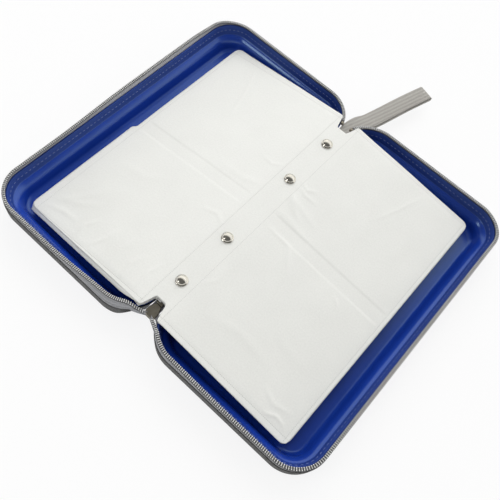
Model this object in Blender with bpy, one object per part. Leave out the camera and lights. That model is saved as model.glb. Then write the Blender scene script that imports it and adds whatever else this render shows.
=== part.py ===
"""CD storage case, unzipped and lying open on the backs of its two covers.

Each cover is a moulded plastic tray. A fabric spine band joins the trays at rim height, and the
covers turn about its two long edges. A stack of clear-pocket sleeves is riveted along the spine
and opens like a book over both trays. A zip runs round the three free sides of each tray: woven
tape outside the lip, a chain of teeth along the tape's top edge, and a dark edge binding below.
The slider waits at the near end of the spine, and a wrist strap leaves the far end.

Metres, +Z up. X runs across the open covers, Y along the spine from the slider to the strap.
The origin is the centre of the spine band's underside, which is the outside of the spine.
"""

import math

import bmesh
import bpy
from mathutils import Matrix, Vector

# Fits
CLEARANCE = 0.0003  # between pieces that touch or are sewn together
SLACK = 0.0004  # round a piece that turns or passes through

# Sleeves in plan, from the disc that a pocket takes
DISC = 0.1200
POCKET_ROOM = 0.0045  # a pocket is longer than a disc by this
WELD_BAND = 0.0090  # between the two pockets of a half leaf
SLEEVE_LENGTH = 2 * (DISC + POCKET_ROOM) + WELD_BAND
MARGIN_REACH = 0.0170  # from the spine's middle to the pockets
SLEEVE_REACH = MARGIN_REACH + DISC + POCKET_ROOM  # from the spine's middle to the fore edge
SLEEVE_SHIFT = -0.0015  # the stack lies a little towards the slider

# Spine
BAND_WIDTH = 0.0100  # from hinge line to hinge line, also the width of the closed zip
BAND_THICKNESS = 0.0010
BAND_END_ROOM = 0.0275  # from the band's end to the lip's inner end
RIM_ABOVE_BAND = 0.0001  # the lips stand this much above the band's top face

# Trays
SLEEVE_END_ROOM = 0.0135  # from a leaf's end to the lip's inner face
SLEEVE_FORE_ROOM = 0.0224  # from a leaf's fore edge to the lip's inner face
TRAY_DEPTH = 0.0230  # from the lip's edge down to the floor
TRAY_WALL = 0.0018
FORE_CORNER_RADIUS = 0.0245
SPINE_CORNER_RADIUS = 0.0290
LIP_HEIGHT = 0.0090
LIP_DRAFT = 0.0024  # how far the lip leans in over its height
LEDGE_WIDTH = 0.0029
LEDGE_RADIUS = 0.0016
WALL_DRAFT = 0.0024
FLOOR_RADIUS = 0.0060
CORNER_STEPS = 8
ROUTE_STEP = 7.5  # degrees of a corner between two points of the tape or binding

# Edge binding, a woven strip round the outside of the lip
BINDING_THICKNESS = 0.0009
BINDING_TOP = 0.0030  # below the lip's edge
BINDING_HEIGHT = 0.0110
BINDING_RIBS = 3
BINDING_RIB_DEPTH = 0.0003

# Zip
TAPE_THICKNESS = 0.0008
TAPE_HANG = 0.0125  # below the lip's edge
TAPE_RISE = 0.0022  # above the lip's edge
CHAIN_WIDTH = 0.0026
CHAIN_TOP = 0.0047  # above the lip's edge, just under half the closed zip
TOOTH_PITCH = 0.0050
TOOTH_RELIEF = 0.0006  # how far the teeth stand out of the chain's core
TAIL_BOTTOM = 0.0024  # below the lip's edge, where the tape clears the binding
TAPE_NEAR_ANGLE = 42.0  # degrees round the spine corner, where the tape leaves for the slider
TAPE_FAR_ANGLE = 72.0
BINDING_STOP_ANGLE = 40.0  # degrees round both spine corners, where the binding stops
TAIL_STEPS = 6
TAIL_FADE = 12.0  # degrees over which the tape's lower edge rises to clear the binding's end

# Slider, with its mouth towards -Y
SLIDER_WIDTH = 0.0098
SLIDER_LENGTH = 0.0120
SLIDER_HEIGHT = 0.0052
SLIDER_PLATE = 0.0013
SLIDER_BELOW_RIM = 0.0012
SLIDER_START = 0.0040  # gap between the band's end and the slider, where the bottom stop sits
CROWN_HOLE_RADIUS = 0.0013
CROWN_THICKNESS = 0.0010
CROWN_WIDTH = 0.0022
TAB_BAR_RADIUS = 0.0005
TAB_LENGTH = 0.0140
TAB_WIDTH = 0.0060
TAB_THICKNESS = 0.0010
TAB_EYE_REACH = 0.0031  # from the bar's centre to the far edge of the eye
STOP_WIDTH = 0.0060
STOP_HEIGHT = 0.0030
TOP_STOP_SIZE = 0.0028

# Sleeves as they lie
MARGIN_RISE = 0.0042  # top of the riveted margin above the rim
MARGIN_SWING = 0.0090  # radius about the hinge line inside which the leaves bend
LEFT_FORE_TOP = 0.0152  # top leaf's fore edge below the rim
RIGHT_FORE_TOP = 0.0088
FLOOR_GAP = 0.0005  # between the lowest leaf and the tray's floor
FORE_LEAF_RADIUS = 0.0070
LEAF_RIDGES = 5
LEAF_RIDGE_DEPTH = 0.0006
LEAF_TAPER = 0.0020  # how much smaller the lowest leaf looks than the top one
WELD_MARGIN = 0.0035
POCKET_RISE = 0.0005
NOTCH_MOUTH = 0.0200
NOTCH_FLOOR = 0.0090
NOTCH_DEPTH = 0.0140

# Rivets
RIVET_FROM_END = (0.0365, 0.0890)  # along the spine, from the leaves' ends
RIVET_HEAD_RADIUS = 0.0052
RIVET_HEAD_RISE = 0.0026
RIVET_HEAD_RIM = 0.0006
RIVET_SHANK_RADIUS = 0.0020
RIVET_BASE_RADIUS = 0.0042
RIVET_BASE_THICKNESS = 0.0006
BINDING_STRIP_THICKNESS = 0.0007
ROUND_STEPS = 16

# Wrist strap, one length of webbing folded back on itself
STRAP_WIDTH = 0.0195
STRAP_ROOT_WIDTH = 0.0085
STRAP_LAYER = 0.0011
STRAP_LAYER_GAP = 0.0007
STRAP_POINTS = (  # across, beyond the band's end, and up
    (0.0000, CLEARANCE, -0.0006),
    (0.0001, 0.0035, -0.0016),
    (0.0004, 0.0120, -0.0036),
    (0.0030, 0.0220, -0.0052),
    (0.0085, 0.0390, -0.0076),
    (0.0146, 0.0580, -0.0102),
    (0.0205, 0.0780, -0.0126),
    (0.0266, 0.1025, -0.0150),
)
STRAP_STEPS = 21
STRAP_SEWN_STEPS = 2  # steps at the root where its two layers are sewn together
STRAP_SPREAD = 0.0430  # along the strap, from its root to its full width

# Heights and places that follow from the sizes above
RIM_Z = BAND_THICKNESS + RIM_ABOVE_BAND
HINGE_X = BAND_WIDTH / 2
LIP_X = HINGE_X + TRAY_WALL
FORE_LIP_X = SLEEVE_REACH + SLEEVE_FORE_ROOM
LIP_Y = SLEEVE_LENGTH / 2 + SLEEVE_END_ROOM
MARGIN_TOP = RIM_Z + MARGIN_RISE
BLOCK_X = HINGE_X + MARGIN_SWING
SPINE_CENTRE_X = LIP_X + SPINE_CORNER_RADIUS
SPINE_CENTRE_Y = LIP_Y - SPINE_CORNER_RADIUS
BAND_END = LIP_Y - BAND_END_ROOM
SLIDER_NEAR = -(BAND_END + SLIDER_START + SLIDER_LENGTH)
SLIDER_FAR = -(BAND_END + SLIDER_START)
SLIDER_TOP = RIM_Z - SLIDER_BELOW_RIM
SLIDER_BOTTOM = SLIDER_TOP - SLIDER_HEIGHT
TAB_AXIS_Y = (SLIDER_NEAR + SLIDER_FAR) / 2
TAB_AXIS_Z = SLIDER_BOTTOM - CROWN_HOLE_RADIUS
STRIP_WIDTH = BAND_WIDTH - 4 * CLEARANCE
BASE_BOTTOM = RIM_Z + CLEARANCE - RIM_ABOVE_BAND
BASE_TOP = BASE_BOTTOM + RIVET_BASE_THICKNESS
STRIP_BOTTOM = BASE_TOP + CLEARANCE
STRIP_TOP = STRIP_BOTTOM + BINDING_STRIP_THICKNESS
RIVET_PLACES = [SLEEVE_LENGTH / 2 - place for place in reversed(RIVET_FROM_END)]
RIVET_PLACES = [-place for place in reversed(RIVET_PLACES)] + RIVET_PLACES
SIDES = (("left", -1), ("right", 1))
OVERSHOOT = 0.0050  # how far a cutter runs past what it cuts
UPWARD = 0.95  # the least upward slant of a face of the top leaf


def clear_scene():
    """Removes whatever the file holds before the case is modelled."""
    for thing in list(bpy.data.objects):
        bpy.data.objects.remove(thing, do_unlink=True)


def material(name, colour, roughness, metallic=0.0, coat=0.0):
    """A plain finish, shared by the pieces that have it."""
    found = bpy.data.materials.get(name)
    if found:
        return found
    finish = bpy.data.materials.new(name)
    finish.use_nodes = True
    shader = finish.node_tree.nodes["Principled BSDF"]
    shader.inputs["Base Color"].default_value = (*colour, 1.0)
    shader.inputs["Roughness"].default_value = roughness
    shader.inputs["Metallic"].default_value = metallic
    shader.inputs["Coat Weight"].default_value = coat
    finish.diffuse_color = (*colour, 1.0)
    return finish


def blue_plastic():
    return material("blue_plastic", (0.010, 0.035, 0.260), 0.22, coat=0.4)


def grey_tape():
    return material("grey_tape", (0.330, 0.330, 0.325), 0.80)


def dark_tape():
    return material("dark_tape", (0.075, 0.075, 0.072), 0.85)


def chain_plastic():
    return material("chain_plastic", (0.430, 0.430, 0.425), 0.45)


def sleeve_white():
    return material("sleeve_white", (0.780, 0.780, 0.760), 0.45)


def nickel():
    return material("nickel", (0.720, 0.690, 0.640), 0.22, metallic=1.0)


def strap_webbing():
    return material("strap_webbing", (0.480, 0.475, 0.460), 0.80)


def finish_object(name, shape, finish, smooth_angle=35.0):
    """Makes one named object of a bmesh, faces outwards, round faces shaded smooth."""
    bmesh.ops.recalc_face_normals(shape, faces=shape.faces)
    mesh = bpy.data.meshes.new(name)
    shape.to_mesh(mesh)
    shape.free()
    mesh.shade_smooth()
    mesh.set_sharp_from_angle(angle=math.radians(smooth_angle))
    mesh.materials.append(finish)
    thing = bpy.data.objects.new(name, mesh)
    bpy.context.scene.collection.objects.link(thing)
    return thing


def cutter(name, shape):
    """A guide object that cuts another and isn't part of the case."""
    thing = finish_object(name, shape, grey_tape())
    thing.hide_render = True
    thing.display_type = "WIRE"
    return thing


def cut(thing, tool, operation="DIFFERENCE"):
    """Cuts tool out of thing, or joins it on, with an exact Boolean."""
    step = thing.modifiers.new(tool.name, "BOOLEAN")
    step.operation = operation
    step.solver = "EXACT"
    step.object = tool


def arc(centre, radius, start, end, steps):
    """Points on an arc in a plane, from angle start to angle end in degrees."""
    points = []
    for step in range(steps + 1):
        angle = math.radians(start + (end - start) * step / steps)
        points.append((centre[0] + radius * math.cos(angle), centre[1] + radius * math.sin(angle)))
    return points


def rounded_outline(x_near, x_far, y_low, y_high, near_radius, far_radius, steps=CORNER_STEPS):
    """A rounded rectangle in plan, anticlockwise, with its own radius at each X end."""
    points = []
    points += arc((x_near + near_radius, y_low + near_radius), near_radius, 180, 270, steps)
    points += arc((x_far - far_radius, y_low + far_radius), far_radius, 270, 360, steps)
    points += arc((x_far - far_radius, y_high - far_radius), far_radius, 0, 90, steps)
    points += arc((x_near + near_radius, y_high - near_radius), near_radius, 90, 180, steps)
    return points


def tray_outline(inset):
    """The lip's inner outline of the right-hand tray, drawn in by inset."""
    return rounded_outline(
        LIP_X + inset,
        FORE_LIP_X - inset,
        -LIP_Y + inset,
        LIP_Y - inset,
        SPINE_CORNER_RADIUS - inset,
        FORE_CORNER_RADIUS - inset,
    )


def loft(rings):
    """Skins neighbouring rings of points, and caps both ends."""
    shape = bmesh.new()
    rows = [[shape.verts.new(point) for point in ring] for ring in rings]
    count = len(rows[0])
    for row, following in zip(rows, rows[1:]):
        for i in range(count):
            j = (i + 1) % count
            shape.faces.new((row[i], row[j], following[j], following[i]))
    shape.faces.new(rows[0])
    shape.faces.new(rows[-1])
    return shape


def mirrored(shape, side):
    """The right-hand shape as it is, or turned into its left-hand twin."""
    if side < 0:
        bmesh.ops.scale(shape, vec=(-1, 1, 1), verts=shape.verts)
    return shape


def prism(outline, low, high):
    """A plan outline made solid between two heights."""
    return loft([[(x, y, low) for x, y in outline], [(x, y, high) for x, y in outline]])


def block(x_low, x_high, y_low, y_high, z_low, z_high):
    """A plain box between six planes."""
    outline = [(x_low, y_low), (x_high, y_low), (x_high, y_high), (x_low, y_high)]
    return prism(outline, z_low, z_high)


def turned(profile, place):
    """A round piece about a vertical axis through place, from (radius, height) points."""
    shape = bmesh.new()
    points = [shape.verts.new((place[0] + r, place[1], place[2] + h)) for r, h in profile]
    edges = [shape.edges.new(pair) for pair in zip(points, points[1:])]
    bmesh.ops.spin(
        shape,
        geom=points + edges,
        cent=place,
        axis=(0, 0, 1),
        angle=math.tau,
        steps=ROUND_STEPS,
        use_merge=True,
    )
    bmesh.ops.remove_doubles(shape, verts=shape.verts, dist=1e-6)
    return shape


def wall_profile():
    """(inset, depth) points down the tray's inner wall, from the lip's edge to the floor."""
    points = [(0.0, 0.0), (LIP_DRAFT, LIP_HEIGHT)]
    ledge = (LIP_DRAFT + LEDGE_WIDTH - LEDGE_RADIUS, LIP_HEIGHT + 2 * LEDGE_RADIUS)
    points += arc(ledge, LEDGE_RADIUS, -75, -10, 4)
    foot_x = LIP_DRAFT + LEDGE_WIDTH + WALL_DRAFT
    points += arc((foot_x + FLOOR_RADIUS, TRAY_DEPTH - FLOOR_RADIUS), FLOOR_RADIUS, 165, 90, 5)
    return points


def thickened(profile, distance):
    """The same profile moved out by distance, for the tray's outer face."""
    moved = []
    for i, point in enumerate(profile):
        before = Vector(profile[max(i - 1, 0)])
        after = Vector(profile[min(i + 1, len(profile) - 1)])
        along = (after - before).normalized()
        moved.append((point[0] - along.y * distance, point[1] + along.x * distance))
    moved[0] = (-distance, 0.0)
    moved[-1] = (profile[-1][0], profile[-1][1] + distance)
    return moved


def add_shell(name, side):
    """One moulded tray: lip, ledge, sloping wall and rounded foot, of even thickness."""
    inner = wall_profile()
    outer = thickened(inner, TRAY_WALL)
    rings = []
    for inset, depth in list(reversed(inner)) + outer:
        rings.append([(x, y, RIM_Z - depth) for x, y in tray_outline(inset)])
    finish_object(name + "_shell", mirrored(loft(rings), side), blue_plastic())


def ribbed_section(top, height, thickness, ribs, depth):
    """(outward, height) points of a woven strip with ribs on its outer face."""
    section = [(0.0, top - height), (0.0, top)]
    for rib in range(ribs):
        high = top - height * rib / ribs
        middle = top - height * (rib + 0.5) / ribs
        section += [(thickness - depth, high), (thickness, middle)]
    section.append((thickness - depth, top - height))
    return section


def lip_route(offset, near_angle, far_angle):
    """Plan points and outward directions round a tray's three free sides, offset from the lip.

    The route starts on the near spine corner, near_angle degrees past the near side's end, and
    stops far_angle degrees round the far one.
    """
    spine_radius = SPINE_CORNER_RADIUS + offset
    fore_radius = FORE_CORNER_RADIUS + offset
    fore_x = FORE_LIP_X - FORE_CORNER_RADIUS
    fore_y = LIP_Y - FORE_CORNER_RADIUS
    corners = (
        ((SPINE_CENTRE_X, -SPINE_CENTRE_Y), spine_radius, 270 - near_angle, 270),
        ((fore_x, -fore_y), fore_radius, 270, 360),
        ((fore_x, fore_y), fore_radius, 0, 90),
        ((SPINE_CENTRE_X, SPINE_CENTRE_Y), spine_radius, 90, 90 + far_angle),
    )
    route = []
    for centre, radius, start, end in corners:
        steps = math.ceil(abs(end - start) / ROUTE_STEP)
        for x, y in arc(centre, radius, start, end, steps):
            out = Vector((x - centre[0], y - centre[1])).normalized()
            route.append((Vector((x, y)), out))
    return route


def add_binding(name, side):
    """The woven strip sewn over the tape, round the outside of the lip's three free sides."""
    offset = TRAY_WALL + CLEARANCE + TAPE_THICKNESS + CLEARANCE
    section = ribbed_section(
        RIM_Z - BINDING_TOP, BINDING_HEIGHT, BINDING_THICKNESS, BINDING_RIBS, BINDING_RIB_DEPTH
    )
    rings = []
    for point, out in lip_route(offset, BINDING_STOP_ANGLE, BINDING_STOP_ANGLE):
        rings.append([(point.x + out.x * o, point.y + out.y * o, z) for o, z in section])
    finish_object(name + "_edge_binding", mirrored(loft(rings), side), dark_tape())


def zip_route():
    """The tape's points, outward directions and lower edge's height, from slider to far end."""
    offset = TRAY_WALL + CLEARANCE + TAPE_THICKNESS / 2
    lip = lip_route(offset, TAPE_NEAR_ANGLE, TAPE_FAR_ANGLE)
    first, first_out = lip[0]
    start = Vector((SLIDER_WIDTH / 2 + SLACK + TAPE_THICKNESS, SLIDER_NEAR + SLIDER_LENGTH * 0.2))
    heading = (first - start).normalized()
    tail_out = Vector((heading.y, -heading.x))
    high_edge = RIM_Z - TAIL_BOTTOM
    low_edge = RIM_Z - TAPE_HANG
    route = []
    for step in range(TAIL_STEPS):
        route.append((start.lerp(first, step / TAIL_STEPS), tail_out, high_edge))
    for point, out in lip:
        past = math.degrees(math.asin(max(0.0, -out.x)))
        if point.x > SPINE_CENTRE_X:
            past = 0.0
        share = min(1.0, max(0.0, (past - BINDING_STOP_ANGLE + TAIL_FADE) / TAIL_FADE))
        route.append((point, out, low_edge + (high_edge - low_edge) * share))
    return route


def path_frame(route, distance):
    """The point and outward direction at a distance along a route."""
    walked = 0.0
    for (point, out, _), (following, following_out, _) in zip(route, route[1:]):
        step = (following - point).length
        if walked + step >= distance:
            share = (distance - walked) / step
            return point.lerp(following, share), out.lerp(following_out, share).normalized()
        walked += step
    return route[-1][0], route[-1][1]


def add_tape(name, side):
    """One half of the zip's woven tape, sewn to the outside of the lip."""
    half = TAPE_THICKNESS / 2
    high = RIM_Z + TAPE_RISE
    rings = []
    for point, out, low in zip_route():
        section = [(-half, low), (half, low), (half, high), (-half, high)]
        rings.append([(point.x + out.x * o, point.y + out.y * o, z) for o, z in section])
    finish_object(name + "_zip_tape", mirrored(loft(rings), side), grey_tape())


def add_chain(name, side):
    """The row of teeth along the top edge of one zip tape."""
    route = zip_route()
    length = sum((b[0] - a[0]).length for a, b in zip(route, route[1:]))
    count = int(length / TOOTH_PITCH)
    low = RIM_Z + TAPE_RISE + CLEARANCE
    high = RIM_Z + CHAIN_TOP
    rings = []
    for i in range(2 * count + 1):
        relief = 0.0 if i % 2 else TOOTH_RELIEF
        half = CHAIN_WIDTH / 2 - relief
        top = high - relief
        point, out = path_frame(route, length * i / (2 * count))
        section = [(-half, low), (half, low), (half, top), (-half, top)]
        rings.append([(point.x + out.x * o, point.y + out.y * o, z) for o, z in section])
    finish_object(name + "_zip_chain", mirrored(loft(rings), side), chain_plastic(), 20.0)


def add_spine_band():
    """The flat fabric band between the covers, plain on the outside."""
    half = HINGE_X - CLEARANCE
    outline = rounded_outline(-half, half, -BAND_END, BAND_END, half / 3, half / 3, 3)
    finish_object("spine_band", prism(outline, 0.0, BAND_THICKNESS), dark_tape())


def add_binding_strip():
    """The narrow strip, sewn inside the band, that the sleeves are riveted to."""
    half = STRIP_WIDTH / 2
    end = SLEEVE_LENGTH / 2 - NOTCH_DEPTH
    shape = block(-half, half, SLEEVE_SHIFT - end, SLEEVE_SHIFT + end, STRIP_BOTTOM, STRIP_TOP)
    strip = finish_object("sleeve_binding_strip", shape, grey_tape())
    for number, y in enumerate(RIVET_PLACES, 1):
        cut(strip, rivet_hole("strip_hole_%d" % number, y))


def rivet_hole(name, y):
    """A guide for the hole that a rivet's shank passes through."""
    low = BASE_BOTTOM - OVERSHOOT
    high = MARGIN_TOP + OVERSHOOT - BASE_BOTTOM
    radius = RIVET_SHANK_RADIUS + CLEARANCE
    profile = [(0.0, high), (radius, high), (radius, 0.0), (0.0, 0.0)]
    return cutter(name, turned(profile, (0.0, SLEEVE_SHIFT + y, low)))


def notch_cutter(name, end):
    """A guide for the tapered notch at one end of the riveted margin."""
    mouth_y = SLEEVE_LENGTH / 2
    floor_y = mouth_y - NOTCH_DEPTH
    slope = (NOTCH_MOUTH - NOTCH_FLOOR) / 2 / NOTCH_DEPTH
    wide = NOTCH_MOUTH / 2 + slope * OVERSHOOT
    outline = [
        (-NOTCH_FLOOR / 2, SLEEVE_SHIFT + end * floor_y),
        (NOTCH_FLOOR / 2, SLEEVE_SHIFT + end * floor_y),
        (wide, SLEEVE_SHIFT + end * (mouth_y + OVERSHOOT)),
        (-wide, SLEEVE_SHIFT + end * (mouth_y + OVERSHOOT)),
    ]
    return cutter(name, prism(outline, RIM_Z - OVERSHOOT, MARGIN_TOP + OVERSHOOT))


def swing_arc(radius, low, high, steps=4):
    """(x, z) points on an arc about the right-hand hinge line, from one height to another."""
    start = math.degrees(math.asin((low - RIM_Z) / radius))
    end = math.degrees(math.asin((high - RIM_Z) / radius))
    return arc((HINGE_X, RIM_Z), radius, start, end, steps)


def add_margin():
    """The leaves' riveted margin, which lies over both lips and bends when a cover closes."""
    side = swing_arc(MARGIN_SWING - CLEARANCE, RIM_Z + CLEARANCE, MARGIN_TOP)
    step_x = STRIP_WIDTH / 2 + CLEARANCE
    step_z = STRIP_TOP + CLEARANCE
    right = [(step_x, step_z), (step_x, RIM_Z + CLEARANCE)] + side
    section = right + [(-x, z) for x, z in reversed(right)]
    ends = (SLEEVE_SHIFT - SLEEVE_LENGTH / 2, SLEEVE_SHIFT + SLEEVE_LENGTH / 2)
    shape = loft([[(x, y, z) for x, z in section] for y in ends])
    margin = finish_object("sleeve_margin", shape, sleeve_white())
    cut(margin, notch_cutter("near_notch", -1))
    cut(margin, notch_cutter("far_notch", 1))
    for number, y in enumerate(RIVET_PLACES, 1):
        cut(margin, rivet_hole("margin_hole_%d" % number, y))


def add_sleeves(name, side, fore_top):
    """One half of the opened stack: leaf edges round it, two raised pockets on its top leaf."""
    root_low = RIM_Z + CLEARANCE
    fore_low = RIM_Z - TRAY_DEPTH + FLOOR_GAP
    fore_high = RIM_Z - fore_top
    inner_low = BLOCK_X
    y_low = SLEEVE_SHIFT - SLEEVE_LENGTH / 2
    y_high = SLEEVE_SHIFT + SLEEVE_LENGTH / 2
    levels = 2 * LEAF_RIDGES
    rings = []
    for level in range(levels + 1):
        share = level / levels
        ridge = LEAF_RIDGE_DEPTH * (level % 2)
        inset = ridge + LEAF_TAPER * (1 - share)
        root_z = root_low + (MARGIN_TOP - root_low) * share
        fore_z = fore_low + (fore_high - fore_low) * share
        root_x = HINGE_X + math.sqrt(MARGIN_SWING**2 - (root_z - RIM_Z) ** 2)
        far_x = SLEEVE_REACH - inset
        outline = [(root_x, y_high - inset), (root_x, y_low + inset)]
        corner = FORE_LEAF_RADIUS - inset
        outline += arc((far_x - corner, y_low + inset + corner), corner, 270, 360, 4)
        outline += arc((far_x - corner, y_high - inset - corner), corner, 0, 90, 4)
        ring = []
        for x, y in outline:
            reach = (x - root_x) / (SLEEVE_REACH - inner_low)
            ring.append((x, y, root_z + (fore_z - root_z) * reach))
        rings.append(ring)
    shape = loft(rings)
    raise_pockets(shape)
    finish_object(name + "_sleeves", mirrored(shape, side), sleeve_white())


def raise_pockets(shape):
    """Splits the top leaf across its middle, and raises a pocket on each side of the weld."""
    for y in (SLEEVE_SHIFT - WELD_BAND / 2, SLEEVE_SHIFT + WELD_BAND / 2):
        leaf = upward_faces(shape)
        edges = {edge for face in leaf for edge in face.edges}
        points = {vert for face in leaf for vert in face.verts}
        bmesh.ops.bisect_plane(
            shape,
            geom=list(points) + list(edges) + leaf,
            plane_co=(0, y, 0),
            plane_no=(0, 1, 0),
        )
    pockets = sorted(upward_faces(shape), key=lambda face: face.calc_area())[-2:]
    bmesh.ops.inset_individual(shape, faces=pockets, thickness=WELD_MARGIN)
    for face in pockets:
        bmesh.ops.translate(shape, vec=(0, 0, POCKET_RISE), verts=face.verts)


def upward_faces(shape):
    """The faces that make up the top leaf, which is the highest of the two flat ends."""
    bmesh.ops.recalc_face_normals(shape, faces=shape.faces)
    return [face for face in shape.faces if face.normal.z > UPWARD]


def add_rivet(number, y):
    """A domed cap with its shank, and the flat base that it is clenched into."""
    place = (0.0, SLEEVE_SHIFT + y, 0.0)
    seat = MARGIN_TOP + CLEARANCE
    dome_radius = (RIVET_HEAD_RADIUS**2 + RIVET_HEAD_RISE**2) / (2 * RIVET_HEAD_RISE)
    dome_z = seat + RIVET_HEAD_RIM + RIVET_HEAD_RISE - dome_radius
    edge = math.degrees(math.acos(RIVET_HEAD_RADIUS / dome_radius))
    profile = arc((0.0, dome_z), dome_radius, 90, edge, 5)
    profile[0] = (0.0, profile[0][1])
    profile += [
        (RIVET_HEAD_RADIUS, seat),
        (RIVET_SHANK_RADIUS, seat),
        (RIVET_SHANK_RADIUS, BASE_BOTTOM),
        (0.0, BASE_BOTTOM),
    ]
    finish_object("rivet_cap_%d" % number, turned(profile, place), nickel())
    hole = RIVET_SHANK_RADIUS + CLEARANCE
    ring = [
        (hole, BASE_TOP),
        (RIVET_BASE_RADIUS, BASE_TOP),
        (RIVET_BASE_RADIUS, BASE_BOTTOM),
        (hole, BASE_BOTTOM),
        (hole, BASE_TOP),
    ]
    finish_object("rivet_base_%d" % number, turned(ring, place), nickel())


def slider_outline(shrink=0.0):
    """The slider plate's shield shape: wide mouth towards -Y, narrow end towards the band."""
    wide = SLIDER_WIDTH / 2 - shrink
    narrow = wide * 0.62
    near = SLIDER_NEAR + shrink
    far = SLIDER_FAR - shrink
    length = far - near
    right = [
        (wide * 0.45, near),
        (wide * 0.85, near + length * 0.10),
        (wide, near + length * 0.30),
        (wide, near + length * 0.55),
        (narrow, near + length * 0.92),
        (narrow * 0.7, far),
    ]
    return right + [(-x, y) for x, y in reversed(right)]


def add_slider():
    """Two plates joined by a wedge post, with a crown underneath for the pull tab."""
    lower_top = SLIDER_BOTTOM + SLIDER_PLATE
    upper_low = SLIDER_TOP - SLIDER_PLATE
    body = finish_object("zip_slider", prism(slider_outline(), SLIDER_BOTTOM, lower_top), nickel())
    upper = cutter("slider_upper_plate", prism(slider_outline(), upper_low, SLIDER_TOP))
    overlap = SLIDER_PLATE / 2
    post_near = SLIDER_NEAR + SLIDER_LENGTH * 0.12
    post_far = SLIDER_NEAR + SLIDER_LENGTH * 0.55
    post_wide = SLIDER_WIDTH * 0.13
    post = [
        (post_wide, post_near),
        (post_wide, (post_near + post_far) / 2),
        (0.0, post_far),
        (-post_wide, (post_near + post_far) / 2),
        (-post_wide, post_near),
    ]
    wedge = cutter("slider_post", prism(post, SLIDER_BOTTOM + overlap, SLIDER_TOP - overlap))
    crown_radius = CROWN_HOLE_RADIUS + CROWN_THICKNESS
    legs = SLIDER_BOTTOM + overlap
    outer = [(TAB_AXIS_Y + crown_radius, legs)]
    outer += arc((TAB_AXIS_Y, TAB_AXIS_Z), crown_radius, 0, -180, 8)
    outer.append((TAB_AXIS_Y - crown_radius, legs))
    inner = [(TAB_AXIS_Y - CROWN_HOLE_RADIUS, legs)]
    inner += arc((TAB_AXIS_Y, TAB_AXIS_Z), CROWN_HOLE_RADIUS, -180, 0, 8)
    inner.append((TAB_AXIS_Y + CROWN_HOLE_RADIUS, legs))
    half = CROWN_WIDTH / 2
    section = outer + inner
    crown = cutter("slider_crown", loft([[(x, y, z) for y, z in section] for x in (-half, half)]))
    for tool in (upper, wedge, crown):
        cut(body, tool, "UNION")


def add_pull_tab():
    """A small flat tab whose eye goes round the slider's crown, hanging straight down."""
    half = TAB_WIDTH / 2
    low = TAB_AXIS_Z - TAB_LENGTH
    thick = TAB_THICKNESS / 2
    eye = CROWN_WIDTH / 2 + SLACK
    end = arc((0.0, low + half), half, 180, 360, 8)
    outline = [(-half, TAB_AXIS_Z + TAB_BAR_RADIUS)] + end + [(half, TAB_AXIS_Z + TAB_BAR_RADIUS)]
    y_faces = (TAB_AXIS_Y - thick, TAB_AXIS_Y + thick)
    shape = loft([[(x, y, z) for x, z in outline] for y in y_faces])
    tab = finish_object("pull_tab", shape, nickel())
    hole = block(
        -eye,
        eye,
        TAB_AXIS_Y - OVERSHOOT,
        TAB_AXIS_Y + OVERSHOOT,
        TAB_AXIS_Z - TAB_EYE_REACH,
        TAB_AXIS_Z - TAB_BAR_RADIUS,
    )
    cut(tab, cutter("tab_eye", hole))
    set_origin(tab, (0.0, TAB_AXIS_Y, TAB_AXIS_Z))


def set_origin(thing, place):
    """Moves an object's origin to place and leaves its shape where it is."""
    thing.data.transform(Matrix.Translation(-Vector(place)))
    thing.location = place


def add_stops():
    """The bottom stop between band and slider, and a top stop at each tape's far end."""
    half = STOP_WIDTH / 2
    top = RIM_Z - RIM_ABOVE_BAND
    far = -BAND_END - CLEARANCE
    near = SLIDER_FAR + CLEARANCE
    finish_object(
        "zip_bottom_stop",
        block(-half, half, near, far, top - STOP_HEIGHT, top),
        nickel(),
    )
    end, out, _ = zip_route()[-1]
    along = Vector((-out.y, out.x))
    size = TOP_STOP_SIZE
    for name, side in SIDES:
        centre = end + along * (CLEARANCE + size / 2)
        low = RIM_Z + TAPE_RISE - size / 2
        stop = block(
            centre.x - size / 2,
            centre.x + size / 2,
            centre.y - size / 2,
            centre.y + size / 2,
            low,
            low + size,
        )
        finish_object(name + "_top_stop", mirrored(stop, side), nickel())


def strap_curve():
    """Points read from a smooth curve through the strap's own route, root first."""
    route = [Vector((x, BAND_END + beyond, z)) for x, beyond, z in STRAP_POINTS]
    ends = [2 * route[0] - route[1]] + route + [2 * route[-1] - route[-2]]
    points = []
    spans = len(route) - 1
    for step in range(STRAP_STEPS + 1):
        place = min(step * spans / STRAP_STEPS, spans - 1e-9)
        i = int(place)
        t = place - i
        a, b, c, d = ends[i : i + 4]
        square = 2 * a - 5 * b + 4 * c - d
        cube = 3 * b - a - 3 * c + d
        points.append((2 * b + (c - a) * t + square * t**2 + cube * t**3) / 2)
    return points


def strap_ring(frame, half_height, extra_width=0.0):
    """Four corners of the strap's cross-section in one frame of its route."""
    point, across, up, half = frame
    wide = half + extra_width
    return [point + up * h + across * w for w, h in (
        (-wide, half_height), (wide, half_height), (wide, -half_height), (-wide, -half_height)
    )]


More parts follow.
